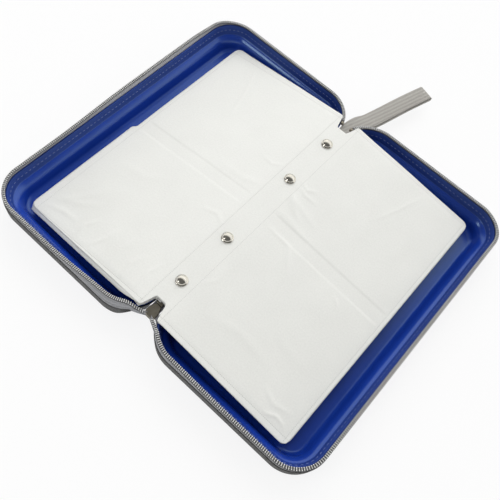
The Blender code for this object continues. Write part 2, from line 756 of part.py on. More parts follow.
def add_strap():
    """The webbing loop: two layers from the root to the fold at the far end."""
    route = strap_curve()
    half_gap = STRAP_LAYER_GAP / 2
    full = half_gap + STRAP_LAYER
    walked = 0.0
    frames = []
    for i, point in enumerate(route):
        along = (route[min(i + 1, len(route) - 1)] - route[max(i - 1, 0)]).normalized()
        across = along.cross(Vector((0, 0, 1))).normalized()
        up = across.cross(along).normalized()
        if i:
            walked += (point - route[i - 1]).length
        share = min(1.0, walked / STRAP_SPREAD)
        width = STRAP_ROOT_WIDTH + (STRAP_WIDTH - STRAP_ROOT_WIDTH) * math.sin(share * math.pi / 2)
        frames.append((point, across, up, width / 2))
    tip, across, up, half = frames[-1]
    frames.append((tip + along * full, across, up, half))
    body = finish_object(
        "wrist_strap", loft([strap_ring(frame, full) for frame in frames]), strap_webbing()
    )
    inside = [strap_ring(frame, half_gap, OVERSHOOT) for frame in frames[STRAP_SEWN_STEPS:-1]]
    cut(body, cutter("strap_inside", loft(inside)))


def main():
    clear_scene()
    for name, side in SIDES:
        add_shell(name, side)
        add_binding(name, side)
        add_tape(name, side)
        add_chain(name, side)
    add_sleeves("left", -1, LEFT_FORE_TOP)
    add_sleeves("right", 1, RIGHT_FORE_TOP)
    add_spine_band()
    add_binding_strip()
    add_margin()
    for number, y in enumerate(RIVET_PLACES, 1):
        add_rivet(number, y)
    add_slider()
    add_pull_tab()
    add_stops()
    add_strap()


main()
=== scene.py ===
"""Dresses the open zip case: finishes, seams, teeth and soft leaves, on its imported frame.

Run as a script in Blender 4.5. Everything is in metres, with +Z up, in the frame's own place:
X runs across the open covers, and Y along the spine from the slider to the wrist strap.
"""

import math

import bmesh
import bpy
from bpy.props import FloatProperty, FloatVectorProperty, IntProperty, PointerProperty
from bpy.types import Operator, Panel, PropertyGroup
from mathutils import Matrix, Vector, noise


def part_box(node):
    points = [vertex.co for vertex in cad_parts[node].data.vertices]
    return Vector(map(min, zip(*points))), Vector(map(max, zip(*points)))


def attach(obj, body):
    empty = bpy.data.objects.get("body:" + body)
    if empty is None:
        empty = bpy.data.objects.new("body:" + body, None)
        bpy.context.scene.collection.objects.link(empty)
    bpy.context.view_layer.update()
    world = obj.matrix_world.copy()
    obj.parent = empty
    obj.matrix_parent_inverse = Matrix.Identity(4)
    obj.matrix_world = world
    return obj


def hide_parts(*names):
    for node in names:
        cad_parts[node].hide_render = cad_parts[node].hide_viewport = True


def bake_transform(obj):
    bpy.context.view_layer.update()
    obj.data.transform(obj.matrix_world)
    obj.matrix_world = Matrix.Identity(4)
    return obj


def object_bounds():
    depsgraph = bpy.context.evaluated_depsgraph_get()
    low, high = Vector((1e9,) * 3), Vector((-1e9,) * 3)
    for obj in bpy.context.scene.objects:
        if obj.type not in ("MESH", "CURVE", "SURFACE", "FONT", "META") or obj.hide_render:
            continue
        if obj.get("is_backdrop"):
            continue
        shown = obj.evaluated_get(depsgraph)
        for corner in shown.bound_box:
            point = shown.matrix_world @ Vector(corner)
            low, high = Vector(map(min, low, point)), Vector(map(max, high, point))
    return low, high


bl_info = {
    "name": "Open Zip Case",
    "version": (1, 0, 0),
    "blender": (4, 5, 0),
    "location": "View3D > Sidebar > Zip Case",
    "description": "Models and finishes an open, zip-round disc case on its packed frame",
    "category": "Object",
}

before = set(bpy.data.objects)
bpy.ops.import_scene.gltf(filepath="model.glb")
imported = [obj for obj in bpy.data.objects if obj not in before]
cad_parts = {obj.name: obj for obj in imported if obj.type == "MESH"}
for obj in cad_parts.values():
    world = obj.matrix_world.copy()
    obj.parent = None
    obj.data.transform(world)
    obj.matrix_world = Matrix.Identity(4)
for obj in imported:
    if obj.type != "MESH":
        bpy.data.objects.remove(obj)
CAD_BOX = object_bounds()

# Places that the frame gives
RIM_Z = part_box("right_shell")[1][2]
FLOOR_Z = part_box("right_shell")[0][2]
HINGE_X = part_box("right_shell")[0][0]
SHELL_FORE_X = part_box("right_shell")[1][0]
SHELL_END_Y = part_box("right_shell")[1][1]
LEAF_LOW_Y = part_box("right_sleeves")[0][1]
LEAF_HIGH_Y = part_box("right_sleeves")[1][1]
LEAF_FORE_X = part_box("right_sleeves")[1][0]
MARGIN_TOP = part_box("sleeve_margin")[1][2]
SLIDER_NEAR_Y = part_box("zip_slider")[0][1]
SLIDER_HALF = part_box("zip_slider")[1][0]
BAND_END_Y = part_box("spine_band")[1][1]
SIDES = (("left", -1), ("right", 1))
UP = Vector((0, 0, 1))

# The zip and its binding, with angles in degrees round the corners beside the spine
TAPE_NEAR_ANGLE = 42.0
TAPE_FAR_ANGLE = 72.0
BINDING_STOP_ANGLE = 40.0
TAIL_START_X = 0.0185  # inside this, the tape runs free of the lip to the slider
TAPE_HANG = 0.0125  # below the rim
TAIL_LIFT = 0.0101  # how much less the tape hangs where it clears the binding's end
TAIL_DROP = 0.0030  # how much more it hangs at the slider
COIL_OUT = 0.0021  # from the lip's inner edge out to the middle of the coil
TEETH_RISE = 0.0038  # above the rim
CORD_RISE = 0.0036

# The tray's inner wall, as depths below the lip and distances in from it
TRAY_DEPTH = 0.0230
LIP_HEIGHT = 0.0090
LIP_LEAN = 0.0024
STITCH_SHARE = 0.52  # how far down the lip its stitches run
CROOK_RADIUS = 0.0012  # where the lip meets the shoulder
SHOULDER = (0.0032, -0.0191)  # centre of the long curve from the lip to the wall
SHOULDER_RADIUS = 0.0119
FOOT_RADIUS = 0.0045
FOOT_IN = 0.0092
FLAT_BORDER = 0.0015  # ring that keeps a flat face's shading flat

# The leaves
LEAF_THICKNESS = 0.00035
NOTCH_HALF_FLOOR = 0.0045
NOTCH_HALF_MOUTH = 0.0100
NOTCH_DEPTH = 0.0140
LEAF_CORNER = 0.0060
POCKET_START_X = 0.0160
CROSS_WELD = (-0.0080, 0.0030)
SEAM_X = 0.0110
SEAM_BORDER = 0.0045

# The wrist strap
STRAP_ROOT_WIDTH = 0.0085
STRAP_SPREAD = 0.043  # along the strap, from its root to its full width

# Route of the wrist strap, across, beyond the band's end, and up
STRAP_ROUTE = (
    (0.0000, 0.0003, -0.0006),
    (0.0000, 0.0035, -0.0016),
    (0.0003, 0.0115, -0.0034),
    (0.0031, 0.0228, -0.0048),
    (0.0084, 0.0329, -0.0060),
    (0.0125, 0.0484, -0.0072),
    (0.0175, 0.0696, -0.0080),
    (0.0223, 0.0885, -0.0086),
    (0.0278, 0.1082, -0.0092),
)

# Sockets of a mix node that is set to mix colours
MIX_FACTOR = 0
MIX_COLOURS = (6, 7)

# The camera, solved from the straight edges of the rims, with angles in degrees
CAMERA_TARGET = (0.01938, -0.03466, 0.0)
CAMERA_AZIMUTH = 27.68
CAMERA_ELEVATION = 64.09
CAMERA_ROLL = 15.54
CAMERA_DISTANCE = 0.48434
CAMERA_LENS = 42.67


def colour_property(label, words, value):
    """A colour that a user may change, in linear red, green and blue."""
    return FloatVectorProperty(
        name=label, description=words, default=value, size=3, min=0.0, max=1.0, subtype="COLOR"
    )


def length_property(label, words, value):
    """A size that a user may change, in metres."""
    return FloatProperty(name=label, description=words, default=value, min=0.0, unit="LENGTH")


class ZIPCASE_PG_sizes(PropertyGroup):
    """Sizes that shape the trays, the zip and the leaves."""

    wall: length_property("Tray wall", "Thickness of the moulded trays", 0.0018)
    fore_radius: length_property("Fore corner", "Lip's inner radius away from the spine", 0.0245)
    spine_radius: length_property("Spine corner", "Lip's inner radius beside the spine", 0.0290)
    tooth_pitch: length_property("Tooth pitch", "From one tooth of the zip to the next", 0.0017)
    stitch_pitch: length_property("Stitch pitch", "From one stitch on the lip to the next", 0.0042)
    left_drop: length_property("Left drop", "Left top leaf's fore edge below the rim", 0.0152)
    right_drop: length_property("Right drop", "Right top leaf's fore edge below the rim", 0.0088)
    wave: length_property("Leaf wave", "Height of the soft waves in the leaves", 0.0005)
    strap_width: length_property("Strap width", "Width of the wrist strap's webbing", 0.0162)
    corner_steps: IntProperty(
        name="Corner steps", description="Straight runs in each rounded corner",
        default=24, min=6, max=64,
    )


class ZIPCASE_PG_colours(PropertyGroup):
    """Colours of the case's own finishes."""

    plastic: colour_property("Tray", "Moulded plastic of both trays", (0.008, 0.037, 0.295))
    tape: colour_property("Tape", "Woven zip tape", (0.370, 0.374, 0.390))
    binding: colour_property("Binding", "Dark ribbed strip round the covers", (0.085, 0.085, 0.083))
    teeth: colour_property("Teeth", "Coiled nylon teeth", (0.780, 0.780, 0.760))
    leaf: colour_property("Leaves", "White backing of the leaves", (0.800, 0.803, 0.765))
    metal: colour_property("Rivets", "Bright plating of the rivets", (0.720, 0.690, 0.610))
    slider: colour_property("Slider", "Dull plating of the slider and stops", (0.340, 0.310, 0.250))
    strap: colour_property("Strap", "Webbing of the wrist strap", (0.400, 0.384, 0.352))
    thread: colour_property("Thread", "Sewing thread on the lips", (0.110, 0.160, 0.380))


def sizes():
    return bpy.context.scene.zip_case_sizes


def colours():
    return bpy.context.scene.zip_case_colours


# Mesh helpers


def new_object(name, shape, finish, smooth_angle=40.0):
    """One finished object of a bmesh, with its place in its mesh."""
    mesh = bpy.data.meshes.new(name)
    shape.to_mesh(mesh)
    shape.free()
    mesh.shade_smooth()
    mesh.set_sharp_from_angle(angle=math.radians(smooth_angle))
    mesh.materials.append(finish)
    piece = bpy.data.objects.new(name, mesh)
    bpy.context.scene.collection.objects.link(piece)
    return piece


def mirrored(shape, side):
    """The right-hand shape, or its left-hand twin with its faces turned back outwards."""
    if side < 0:
        bmesh.ops.scale(shape, vec=(-1, 1, 1), verts=shape.verts)
        bmesh.ops.reverse_faces(shape, faces=shape.faces)
    return shape


def verts_in(parts):
    return [part for part in parts if isinstance(part, bmesh.types.BMVert)]


def edges_in(parts):
    return [part for part in parts if isinstance(part, bmesh.types.BMEdge)]


def draw_chain(shape, points, closed=False):
    """A chain of edges through points, ready for a spin or an extrusion."""
    verts = [shape.verts.new(point) for point in points]
    edges = [shape.edges.new(pair) for pair in zip(verts, verts[1:])]
    if closed:
        edges.append(shape.edges.new((verts[-1], verts[0])))
    return verts + edges


def push_chain(shape, chain, move=(0, 0, 0)):
    """Extrudes a chain of edges by a vector, and returns the chain at its new place."""
    made = bmesh.ops.extrude_edge_only(shape, edges=edges_in(chain))["geom"]
    chain = verts_in(made) + edges_in(made)
    bmesh.ops.translate(shape, vec=move, verts=verts_in(chain))
    return chain


def turn_chain(shape, chain, centre, degrees, steps):
    """Spins a chain of edges about an upright line, and returns the chain at its new place."""
    return bmesh.ops.spin(
        shape,
        geom=chain,
        cent=(centre.x, centre.y, 0.0),
        axis=(0, 0, 1),
        angle=math.radians(degrees),
        steps=steps,
        use_merge=False,
        use_duplicate=False,
    )["geom_last"]


def close_shape(shape):
    """Merges what meets, fills the open ends, and turns every face outwards."""
    bmesh.ops.remove_doubles(shape, verts=shape.verts, dist=1e-6)
    open_edges = [edge for edge in shape.edges if edge.is_boundary]
    if open_edges:
        bmesh.ops.holes_fill(shape, edges=open_edges, sides=0)
    bmesh.ops.recalc_face_normals(shape, faces=shape.faces)
    return shape


def arc(centre, radius, start, end, steps):
    """Points on a plane arc, from angle start to angle end in degrees."""
    angles = [math.radians(start + (end - start) * step / steps) for step in range(steps + 1)]
    return [(centre[0] + radius * math.cos(a), centre[1] + radius * math.sin(a)) for a in angles]


def smooth_step(low, high, value):
    """0 below low, 1 above high, and a soft ramp between."""
    share = min(1.0, max(0.0, (value - low) / (high - low)))
    return share * share * (3 - 2 * share)


def bead(halves, steps=8):
    """A small rounded bead of its own mesh, with these half lengths."""
    shape = bmesh.new()
    matrix = Matrix.Diagonal((*halves, 1.0))
    bmesh.ops.create_uvsphere(
        shape, u_segments=steps, v_segments=steps - 3, radius=1, matrix=matrix
    )
    return shape


def add_copy(shape, model, matrix):
    """Adds a small mesh to a shape, turned and moved by a matrix."""
    model.transform(matrix)
    shape.from_mesh(model)
    model.transform(matrix.inverted())


def as_mesh(shape, name):
    """A bmesh as a loose mesh, which can be added many times to another."""
    model = bpy.data.meshes.new(name)
    shape.to_mesh(model)
    shape.free()
    return model


def sweep_along(route, section_at):
    """A closed tube along a route of frames, with section_at(frame number) as its section.

    A frame is (place, across, up), and a section is a ring of (across, up) distances. Every
    section has the same number of points.
    """
    shape = bmesh.new()
    chain = None
    for number, (place, across, up) in enumerate(route):
        ring = [place + across * a + up * u for a, u in section_at(number)]
        if chain is None:
            chain = draw_chain(shape, ring, closed=True)
            front = verts_in(chain)
            continue
        chain = push_chain(shape, chain)
        new_ends = set(verts_in(chain))
        front = [
            next(edge.other_vert(v) for edge in v.link_edges if edge.other_vert(v) in new_ends)
            for v in front
        ]
        for vert, point in zip(front, ring):
            vert.co = point
    return close_shape(shape)


def flat(direction):
    """A plan direction as one in space."""
    return Vector((direction.x, direction.y, 0))


def upright_frames(route):
    """Frames at the rim's height along a plan route of (point, outward direction)."""
    return [(Vector((p.x, p.y, RIM_Z)), flat(out), UP) for p, out in route]


# The lip's plan, which the tray, the tape, the teeth and the binding all follow


def lip_corners():
    """Centre and radius of the right-hand lip's four inner corners, from the near spine one."""
    near_x = HINGE_X + sizes().wall
    fore_x = SHELL_FORE_X - sizes().wall
    end_y = SHELL_END_Y - sizes().wall
    spine = sizes().spine_radius
    fore = sizes().fore_radius
    return [
        (Vector((near_x + spine, -end_y + spine)), spine),
        (Vector((fore_x - fore, -end_y + fore)), fore),
        (Vector((fore_x - fore, end_y - fore)), fore),
        (Vector((near_x + spine, end_y - spine)), spine),
    ]


def sweep_round_lip(section):
    """Sweeps (outward, height) points right round the right-hand lip."""
    shape = bmesh.new()
    corners = lip_corners()
    centre, radius = corners[0]
    points = [(centre.x - radius - out, centre.y, RIM_Z + high) for out, high in section]
    chain = draw_chain(shape, points)
    for number, (centre, _) in enumerate(corners):
        chain = turn_chain(shape, chain, centre, 90, sizes().corner_steps)
        following = corners[(number + 1) % 4][0]
        along = Matrix.Rotation(math.radians(90 * number), 2) @ Vector((1, 0))
        move = along * (following - centre).dot(along)
        chain = push_chain(shape, chain, (move.x, move.y, 0))
    return close_shape(shape)


def lip_route(offset, near_angle, far_angle):
    """(point, outward direction) round the three free sides, offset outwards from the lip."""
    spans = [(270 - near_angle, 270), (270, 360), (0, 90), (90, 90 + far_angle)]
    route = []
    for (centre, radius), (start, end) in zip(lip_corners(), spans):
        steps = max(2, round(sizes().corner_steps * (end - start) / 90))
        for x, y in arc(centre, radius + offset, start, end, steps):
            point = Vector((x, y))
            route.append((point, (point - centre).normalized()))
    return route


def zip_route(offset):
    """The zip's route: straight from beside the slider to the lip, then round the free sides."""
    lip = lip_route(offset, TAPE_NEAR_ANGLE, TAPE_FAR_ANGLE)
    first = lip[0][0]
    start = Vector((SLIDER_HALF * 0.6, SLIDER_NEAR_Y + 0.0034))
    heading = (first - start).normalized()
    out = Vector((heading.y, -heading.x))
    tail = [(start.lerp(first, step / 6), out) for step in range(6)]
    return tail + lip


def split_straights(route, longest=0.006):
    """The same route with its long straight runs cut into short ones."""
    fine = []
    for (point, out), (following, following_out) in zip(route, route[1:]):
        count = max(1, math.ceil((following - point).length / longest))
        for step in range(count):
            share = step / count
            fine.append((point.lerp(following, share), out.lerp(following_out, share).normalized()))
    return fine + [route[-1]]


def every(route, pitch):
    """(point, outward direction) at even distances along a route."""
    left = pitch / 2
    for (point, out), (following, following_out) in zip(route, route[1:]):
        length = (following - point).length
        while left < length:
            share = left / length
            yield point.lerp(following, share), out.lerp(following_out, share).normalized()
            left += pitch
        left -= length


def lean(side, point, out):
    """(inward, upward) shift of the zip's top edge, as it hangs in the open case.

    It folds in over the far lips, stands a little higher along the fore edges, and is drawn in
    and down towards the slider.
    """
    far = smooth_step(0.2, 1.0, out.y)
    fore = smooth_step(0.2, 1.0, out.x)
    inward = 0.0010 * far
    upward = -0.0014 * far
    if side < 0:
        slack = smooth_step(-0.080, 0.010, point.y) * (1 - smooth_step(0.090, 0.130, point.y))
        inward -= 0.0022 * fore * slack
        upward += 0.0004 * fore
    if out.y < 0:
        drawn = 1 - smooth_step(0.020, 0.100, point.x)
        inward += (0.0038 if side < 0 else 0.0012) * drawn * smooth_step(0.004, 0.022, point.x)
        upward -= 0.0044 * (1 - smooth_step(0.004, 0.020, point.x))
    return inward, upward


# Finishes


class Nodes:
    """Short calls that add nodes to one tree."""

    def __init__(self, tree):
        self.tree = tree

    def node(self, kind, links=None, **values):
        """A node with its input links and its fixed values, by socket name, number or setting."""
        made = self.tree.nodes.new(kind)
        for key, value in values.items():
            setattr(made, key, value)
        for key, value in (links or {}).items():
            socket = made.inputs[key]
            if isinstance(value, bpy.types.NodeSocket):
                self.tree.links.new(value, socket)
            else:
                socket.default_value = value
        return made

    def math(self, operation, *values):
        links = dict(enumerate(values))
        return self.node("ShaderNodeMath", links, operation=operation).outputs[0]

    def total(self, first, second):
        """The sum of two (value, share) pairs."""
        return self.math("ADD", self.math("MULTIPLY", *first), self.math("MULTIPLY", *second))

    def ramp(self, value, low, high, start=0.0, end=1.0, **settings):
        """A map of value from (low, high) to (start, end), kept inside the two."""
        links = {"Value": value, "From Min": low, "From Max": high, "To Min": start, "To Max": end}
        return self.node("ShaderNodeMapRange", links, **settings).outputs["Result"]


class Finish(Nodes):
    """A material on a Principled BSDF, with short calls for the nodes that detail it."""

    def __init__(self, name, colour, roughness, fixed=None):
        self.material = bpy.data.materials.new(name)
        self.material.use_nodes = True
        super().__init__(self.material.node_tree)
        self.shader = self.tree.nodes["Principled BSDF"]
        sockets = {"Base Color": (*colour, 1.0), "Roughness": roughness, **(fixed or {})}
        for socket, value in sockets.items():
            self.shader.inputs[socket].default_value = value
        self.material.diffuse_color = (*colour, 1.0)
        self.colour = colour
        self.height = None

    def set(self, socket, output):
        """Lets a node's output drive one of the shader's inputs."""
        self.tree.links.new(output, self.shader.inputs[socket])

    def place(self, scale=(1, 1, 1), turn=0.0, uv=False):
        """Object coordinates, or the piece's own UV map, scaled and turned about Z."""
        source = self.node("ShaderNodeTexCoord").outputs["UV" if uv else "Object"]
        links = {"Vector": source, "Scale": scale, "Rotation": (0, 0, turn)}
        return self.node("ShaderNodeMapping", links).outputs["Vector"]

    def noise(self, vector, scale, detail=3.0, roughness=0.5):
        links = {"Vector": vector, "Scale": scale, "Detail": detail, "Roughness": roughness}
        return self.node("ShaderNodeTexNoise", links).outputs[0]

    def bands(self, vector, period, direction="X", distortion=0.0):
        """Soft stripes across a direction, period metres apart."""
        links = {"Vector": vector, "Scale": math.tau / 20 / period, "Distortion": distortion}
        made = self.node("ShaderNodeTexWave", links, bands_direction=direction)
        return made.outputs["Fac"]

    def tint(self, factor, dark, light):
        """Base colour from one shade to another of the finish's own colour."""
        shades = [(*(min(1.0, c * level) for c in self.colour), 1.0) for level in (dark, light)]
        links = {MIX_FACTOR: factor, MIX_COLOURS[0]: shades[0], MIX_COLOURS[1]: shades[1]}
        self.set("Base Color", self.node("ShaderNodeMix", links, data_type="RGBA").outputs[2])

    def roughen(self, factor, low, high):
        self.set("Roughness", self.ramp(factor, 0, 1, low, high))

    def bump(self, height, distance, strength=1.0):
        """Adds a relief, of distance metres from black to white, over any earlier one."""
        links = {"Height": height, "Distance": distance, "Strength": strength}
        if self.height is not None:
            links["Normal"] = self.height
        self.height = self.node("ShaderNodeBump", links).outputs["Normal"]
        self.set("Normal", self.height)


def tray_plastic():
    """Glossy moulded plastic: a faint ripple, fine scuffs, slightly uneven gloss, and painted shade
    darkening the lip band.
    """
    fixed = {"Specular IOR Level": 0.90, "Specular Tint": (0.60, 0.85, 1.0, 1.0)}
    finish = Finish("tray_plastic", colours().plastic, 0.20, fixed)
    place = finish.place()
    height = finish.node("ShaderNodeSeparateXYZ", {0: place}).outputs[2]
    lip_foot = RIM_Z - 0.0092
    matt = finish.ramp(height, lip_foot, RIM_Z - 0.0080, 0.0, 0.42)
    ripple = finish.noise(place, 55.0, 2.0)
    grain = finish.noise(place, 1400.0, 2.0)
    cloudy = finish.noise(place, 18.0, 4.0)
    gloss = finish.ramp(cloudy, 0.3, 0.7, 0.17, 0.25)
    finish.set("Roughness", finish.math("ADD", gloss, matt))
    # Painted shade: the base colour is darkened on the lip band, standing in for the shade that
    # keeps the lip dark.
    lip_painted_shade = finish.ramp(height, lip_foot, RIM_Z - 0.0084)
    shade = finish.ramp(cloudy, 0.3, 0.7, 0.65, 1.0)
    finish.tint(finish.math("SUBTRACT", shade, finish.math("MULTIPLY", lip_painted_shade, 0.65)), 0.60, 1.12)
    finish.bump(ripple, 0.00012, 0.5)
    finish.bump(grain, 0.000012, 0.6)
    return finish.material


def woven(name, colour, pitch, depth, roughness=0.85, uv=False):
    """Plain weave: two crossed rows of threads, a little uneven, with fuzz."""
    finish = Finish(name, colour, roughness, {"Sheen Weight": 0.25, "Sheen Roughness": 0.6})
    place = finish.place(uv=uv)
    slant = finish.place(turn=math.radians(45), uv=uv)
    warp = finish.bands(slant, pitch, "X", 0.4)
    weft = finish.bands(slant, pitch, "Y", 0.4)
    upright = finish.bands(place, pitch, "Z", 0.4)
    crossed = finish.math("MULTIPLY", warp, weft)
    threads = finish.math("MAXIMUM", crossed, finish.math("MULTIPLY", upright, 0.8))
    fuzz = finish.noise(place, 900.0, 4.0)
    finish.tint(finish.total((threads, 0.6), (fuzz, 0.5)), 0.66, 1.28)
    finish.bump(threads, depth)
    finish.bump(fuzz, depth * 0.5, 0.6)
    return finish.material


def teeth_nylon():
    """Nylon coil: a thin clear coat, a faintly uneven tone and a fine relief."""
    finish = Finish("teeth_nylon", colours().teeth, 0.42, {"Coat Weight": 0.15})
    place = finish.place()
    finish.tint(finish.noise(place, 300.0, 3.0), 0.82, 1.20)
    finish.bump(finish.noise(place, 1200.0, 2.0), 0.00003)
    return finish.material


def plated_metal(name, colour, smooth, rough):
    """Plated metal with faint smudges and small pits."""
    finish = Finish(name, colour, smooth, {"Metallic": 1.0})
    place = finish.place()
    smudge = finish.noise(place, 260.0, 4.0)
    finish.roughen(smudge, smooth, rough)
    finish.tint(smudge, 0.82, 1.15)
    finish.bump(finish.noise(place, 900.0, 3.0), 0.00003, 0.5)
    return finish.material


def line_at(finish, value, place, half_width):
    """1 on a thin line where value is near place, and 0 away from it."""
    distance = finish.math("ABSOLUTE", finish.math("SUBTRACT", value, place))
    return finish.ramp(distance, half_width, half_width * 0.4, 0.0, 1.0)


def leaf_film(name, seams):
    """Clear film over white fibre backing, with rows of spot welds where seams is true."""
    finish = Finish(name, colours().leaf, 0.45, {"Coat Weight": 0.25, "Coat Roughness": 0.20})
    place = finish.place(uv=True)
    fibres = finish.noise(place, 700.0, 5.0, 0.7)
    patches = finish.noise(place, 34.0, 3.0)
    crinkle = finish.noise(place, 120.0, 5.0, 0.6)
    faint = finish.math("ADD", finish.math("MULTIPLY", patches, 0.25), fibres)
    shade = finish.ramp(faint, 0.35, 0.90)
    finish.roughen(patches, 0.34, 0.46)
    finish.bump(fibres, 0.00004, 0.6)
    finish.bump(crinkle, 0.00014, 0.5)
    if seams:
        parts = finish.node("ShaderNodeSeparateXYZ", {0: place})
        across = finish.math("ABSOLUTE", parts.outputs[0])
        along = parts.outputs[1]
        dots = [
            finish.ramp(finish.bands(place, 0.0015, axis), 0.35, 0.65) for axis in ("Y", "X")
        ]
        rows = [finish.math("MULTIPLY", line_at(finish, across, x, 0.00045), dots[0])
                for x in (SEAM_X, LEAF_FORE_X - SEAM_BORDER)]
        rows += [finish.math("MULTIPLY", line_at(finish, along, y, 0.0005), dots[1])
                 for y in (LEAF_LOW_Y + SEAM_BORDER, LEAF_HIGH_Y - SEAM_BORDER)]
        welds = rows[0]
        for row in rows[1:]:
            welds = finish.math("MAXIMUM", welds, row)
        shade = finish.math("SUBTRACT", shade, finish.math("MULTIPLY", welds, 1.6))
        finish.bump(finish.math("SUBTRACT", 1.0, welds), 0.00008)
    finish.tint(finish.ramp(shade, -2.0, 1.0), 0.66, 1.02)
    return finish.material


# Pieces


class ZIPCASE_OT_trays(Operator):
    """Moulds both trays: leaning lip, rounded shoulder, steep wall, round foot and flat floor"""

    bl_idname = "zipcase.trays"
    bl_label = "Trays"

    def execute(self, context):
        finish = tray_plastic()
        for name, side in SIDES:
            shape = mirrored(self.tray(), side)
            tray = new_object(name + "_tray", shape, finish, 30.0)
            wall = tray.modifiers.new("Wall", "SOLIDIFY")
            wall.thickness = sizes().wall
            wall.offset = -1.0
            wall.use_even_offset = True
            edge = tray.modifiers.new("Soft lip", "BEVEL")
            edge.width = 0.0004
            edge.segments = 3
            edge.limit_method = "ANGLE"
            edge.angle_limit = math.radians(60)
            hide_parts(name + "_shell")
            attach(tray, name + "_cover")
        return {"FINISHED"}

    def tray(self):
        """The right-hand tray's inner skin, faces towards its hollow."""
        section = [(0.0, 0.0), (-LIP_LEAN * 0.5, -LIP_HEIGHT * 0.5)]
        crook = (-LIP_LEAN - CROOK_RADIUS, -LIP_HEIGHT + CROOK_RADIUS)
        section += arc(crook, CROOK_RADIUS, -15, -58, 5)
        section += arc(SHOULDER, SHOULDER_RADIUS, 122, 165, 12)
        foot = (-FOOT_IN - FOOT_RADIUS, -TRAY_DEPTH + FOOT_RADIUS)
        section += arc(foot, FOOT_RADIUS, -15, -90, 10)
        shape = sweep_round_lip(section)
        top = [face for face in shape.faces if len(face.verts) > 4]
        rim = max(top, key=lambda face: face.calc_center_median().z)
        bmesh.ops.delete(shape, geom=[rim], context="FACES_ONLY")
        floor = [face for face in shape.faces if len(face.verts) > 4]
        bmesh.ops.inset_region(shape, faces=floor, thickness=FLAT_BORDER, use_even_offset=True)
        floor = [face for face in shape.faces if len(face.verts) > 4]
        if floor[0].normal.z < 0:
            bmesh.ops.reverse_faces(shape, faces=shape.faces)
        return shape


class ZIPCASE_OT_stitches(Operator):
    """Sews a row of short stitches round the inside of each lip"""

    bl_idname = "zipcase.stitches"
    bl_label = "Lip stitches"

    def execute(self, context):
        finish = woven("lip_thread", colours().thread, 0.0003, 0.00003)
        inset = -LIP_LEAN * STITCH_SHARE
        depth = LIP_HEIGHT * STITCH_SHARE
        stitch = as_mesh(bead((0.0013, 0.00036, 0.00036)), "stitch")
        for name, side in SIDES:
            shape = bmesh.new()
            for point, out in every(lip_route(inset, 60, 60), sizes().stitch_pitch):
                along = Vector((-out.y, out.x, 0))
                turn = Matrix((along, flat(out), UP)).transposed()
                place = Matrix.Translation((point.x, point.y, RIM_Z - depth))
                add_copy(shape, stitch, place @ turn.to_4x4())
            stitches = new_object(name + "_lip_stitches", mirrored(shape, side), finish)
            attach(stitches, name + "_cover")
        return {"FINISHED"}


class ZIPCASE_OT_tapes(Operator):
    """Weaves each cover's zip tape, which stands outside the lip and turns in at its top"""

    bl_idname = "zipcase.tapes"
    bl_label = "Zip tapes"

    def execute(self, context):
        finish = woven("zip_tape_weave", colours().tape, 0.0014, 0.00030)
        for name, side in SIDES:
            shape = self.tape(side)
            tape = new_object(name + "_tape", mirrored(shape, side), finish, 50.0)
            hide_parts(name + "_zip_tape")
            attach(tape, name + "_cover")
        return {"FINISHED"}

    def tape(self, side):
        route = split_straights(zip_route(0.0))
        frames = upright_frames(route)

        def section(number):
            point, out = route[number]
            past = math.degrees(math.asin(min(1.0, max(0.0, -out.x))))
            on_tail = smooth_step(BINDING_STOP_ANGLE - 14, BINDING_STOP_ANGLE - 2, past)
            if out.y < 0 and point.x < TAIL_START_X:
                on_tail = 1.0
            low = -TAPE_HANG + TAIL_LIFT * on_tail
            if out.y < 0:
                low -= TAIL_DROP * (1 - smooth_step(0.006, 0.018, point.x))
            inward, upward = lean(side, point, out)
            outer = [(0.0033, low), (0.0033, low * 0.5), (0.0033, -0.0002), (0.0033, 0.0012)]
            outer += [(0.0033, 0.0024), (0.0030, 0.0028), (0.0024, 0.0030), (0.0014, 0.0030)]
            inner = [(0.0012, 0.0026), (0.0013, 0.0018), (0.0015, 0.0008), (0.0017, 0.0001)]
            inner += [(0.00185, -0.0004), (0.0026, min(low * 0.5, -0.001)), (0.0027, low)]
            ring = []
            for across, high in outer + inner:
                folded = across - inward * smooth_step(0.0000, 0.0030, high)
                ring.append((folded, high + upward * smooth_step(-0.001, 0.0034, high)))
            return ring

        return sweep_along(frames, section)


class ZIPCASE_OT_tape_ends(Operator):
    """Lays the flat ends of tape between the slider, the band and each cover's corner, in the
    tape's weave darkened with painted shade
    """

    bl_idname = "zipcase.tape_ends"
    bl_label = "Tape ends"

    def execute(self, context):
        # Painted shade: the tape's own colour darkened to 0.55, as if the ends lay in shade under
        # the leaves.
        finish = woven("tape_end_painted_shade", [c * 0.55 for c in colours().tape], 0.0007, 0.00015)
        for name, side in SIDES:
            centre, radius = lip_corners()[0]
            near_lip = arc(centre, radius + 0.0021, 181, 218, 8)
            tail = [(0.0150, -0.1352), (0.0100, -0.1315), (0.0056, -0.1285), (0.0056, -0.1145)]
            shape = self.patch(near_lip + tail, RIM_Z - 0.0030)
            web = new_object(name + "_tape_end", mirrored(shape, side), finish)
            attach(web, name + "_cover")
        for name, start, end in (("near", -0.1125, -0.1235), ("far", 0.1125, 0.1185)):
            outline = [(0.0047, start), (-0.0047, start), (-0.0047, end), (0.0047, end)]
            bridge = new_object(name + "_tape_bridge", self.patch(outline, RIM_Z - 0.0032), finish)
            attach(bridge, "spine")
        return {"FINISHED"}

    def patch(self, outline, top):
        """A flat patch of tape inside an outline, with its upper face at a height."""
        shape = bmesh.new()
        chain = draw_chain(shape, [(x, y, top) for x, y in outline], closed=True)
        bmesh.ops.holes_fill(shape, edges=edges_in(chain), sides=0)
        made = bmesh.ops.extrude_face_region(shape, geom=shape.faces)["geom"]
        bmesh.ops.translate(shape, vec=(0, 0, -0.0006), verts=verts_in(made))
        bmesh.ops.recalc_face_normals(shape, faces=shape.faces)
        return shape


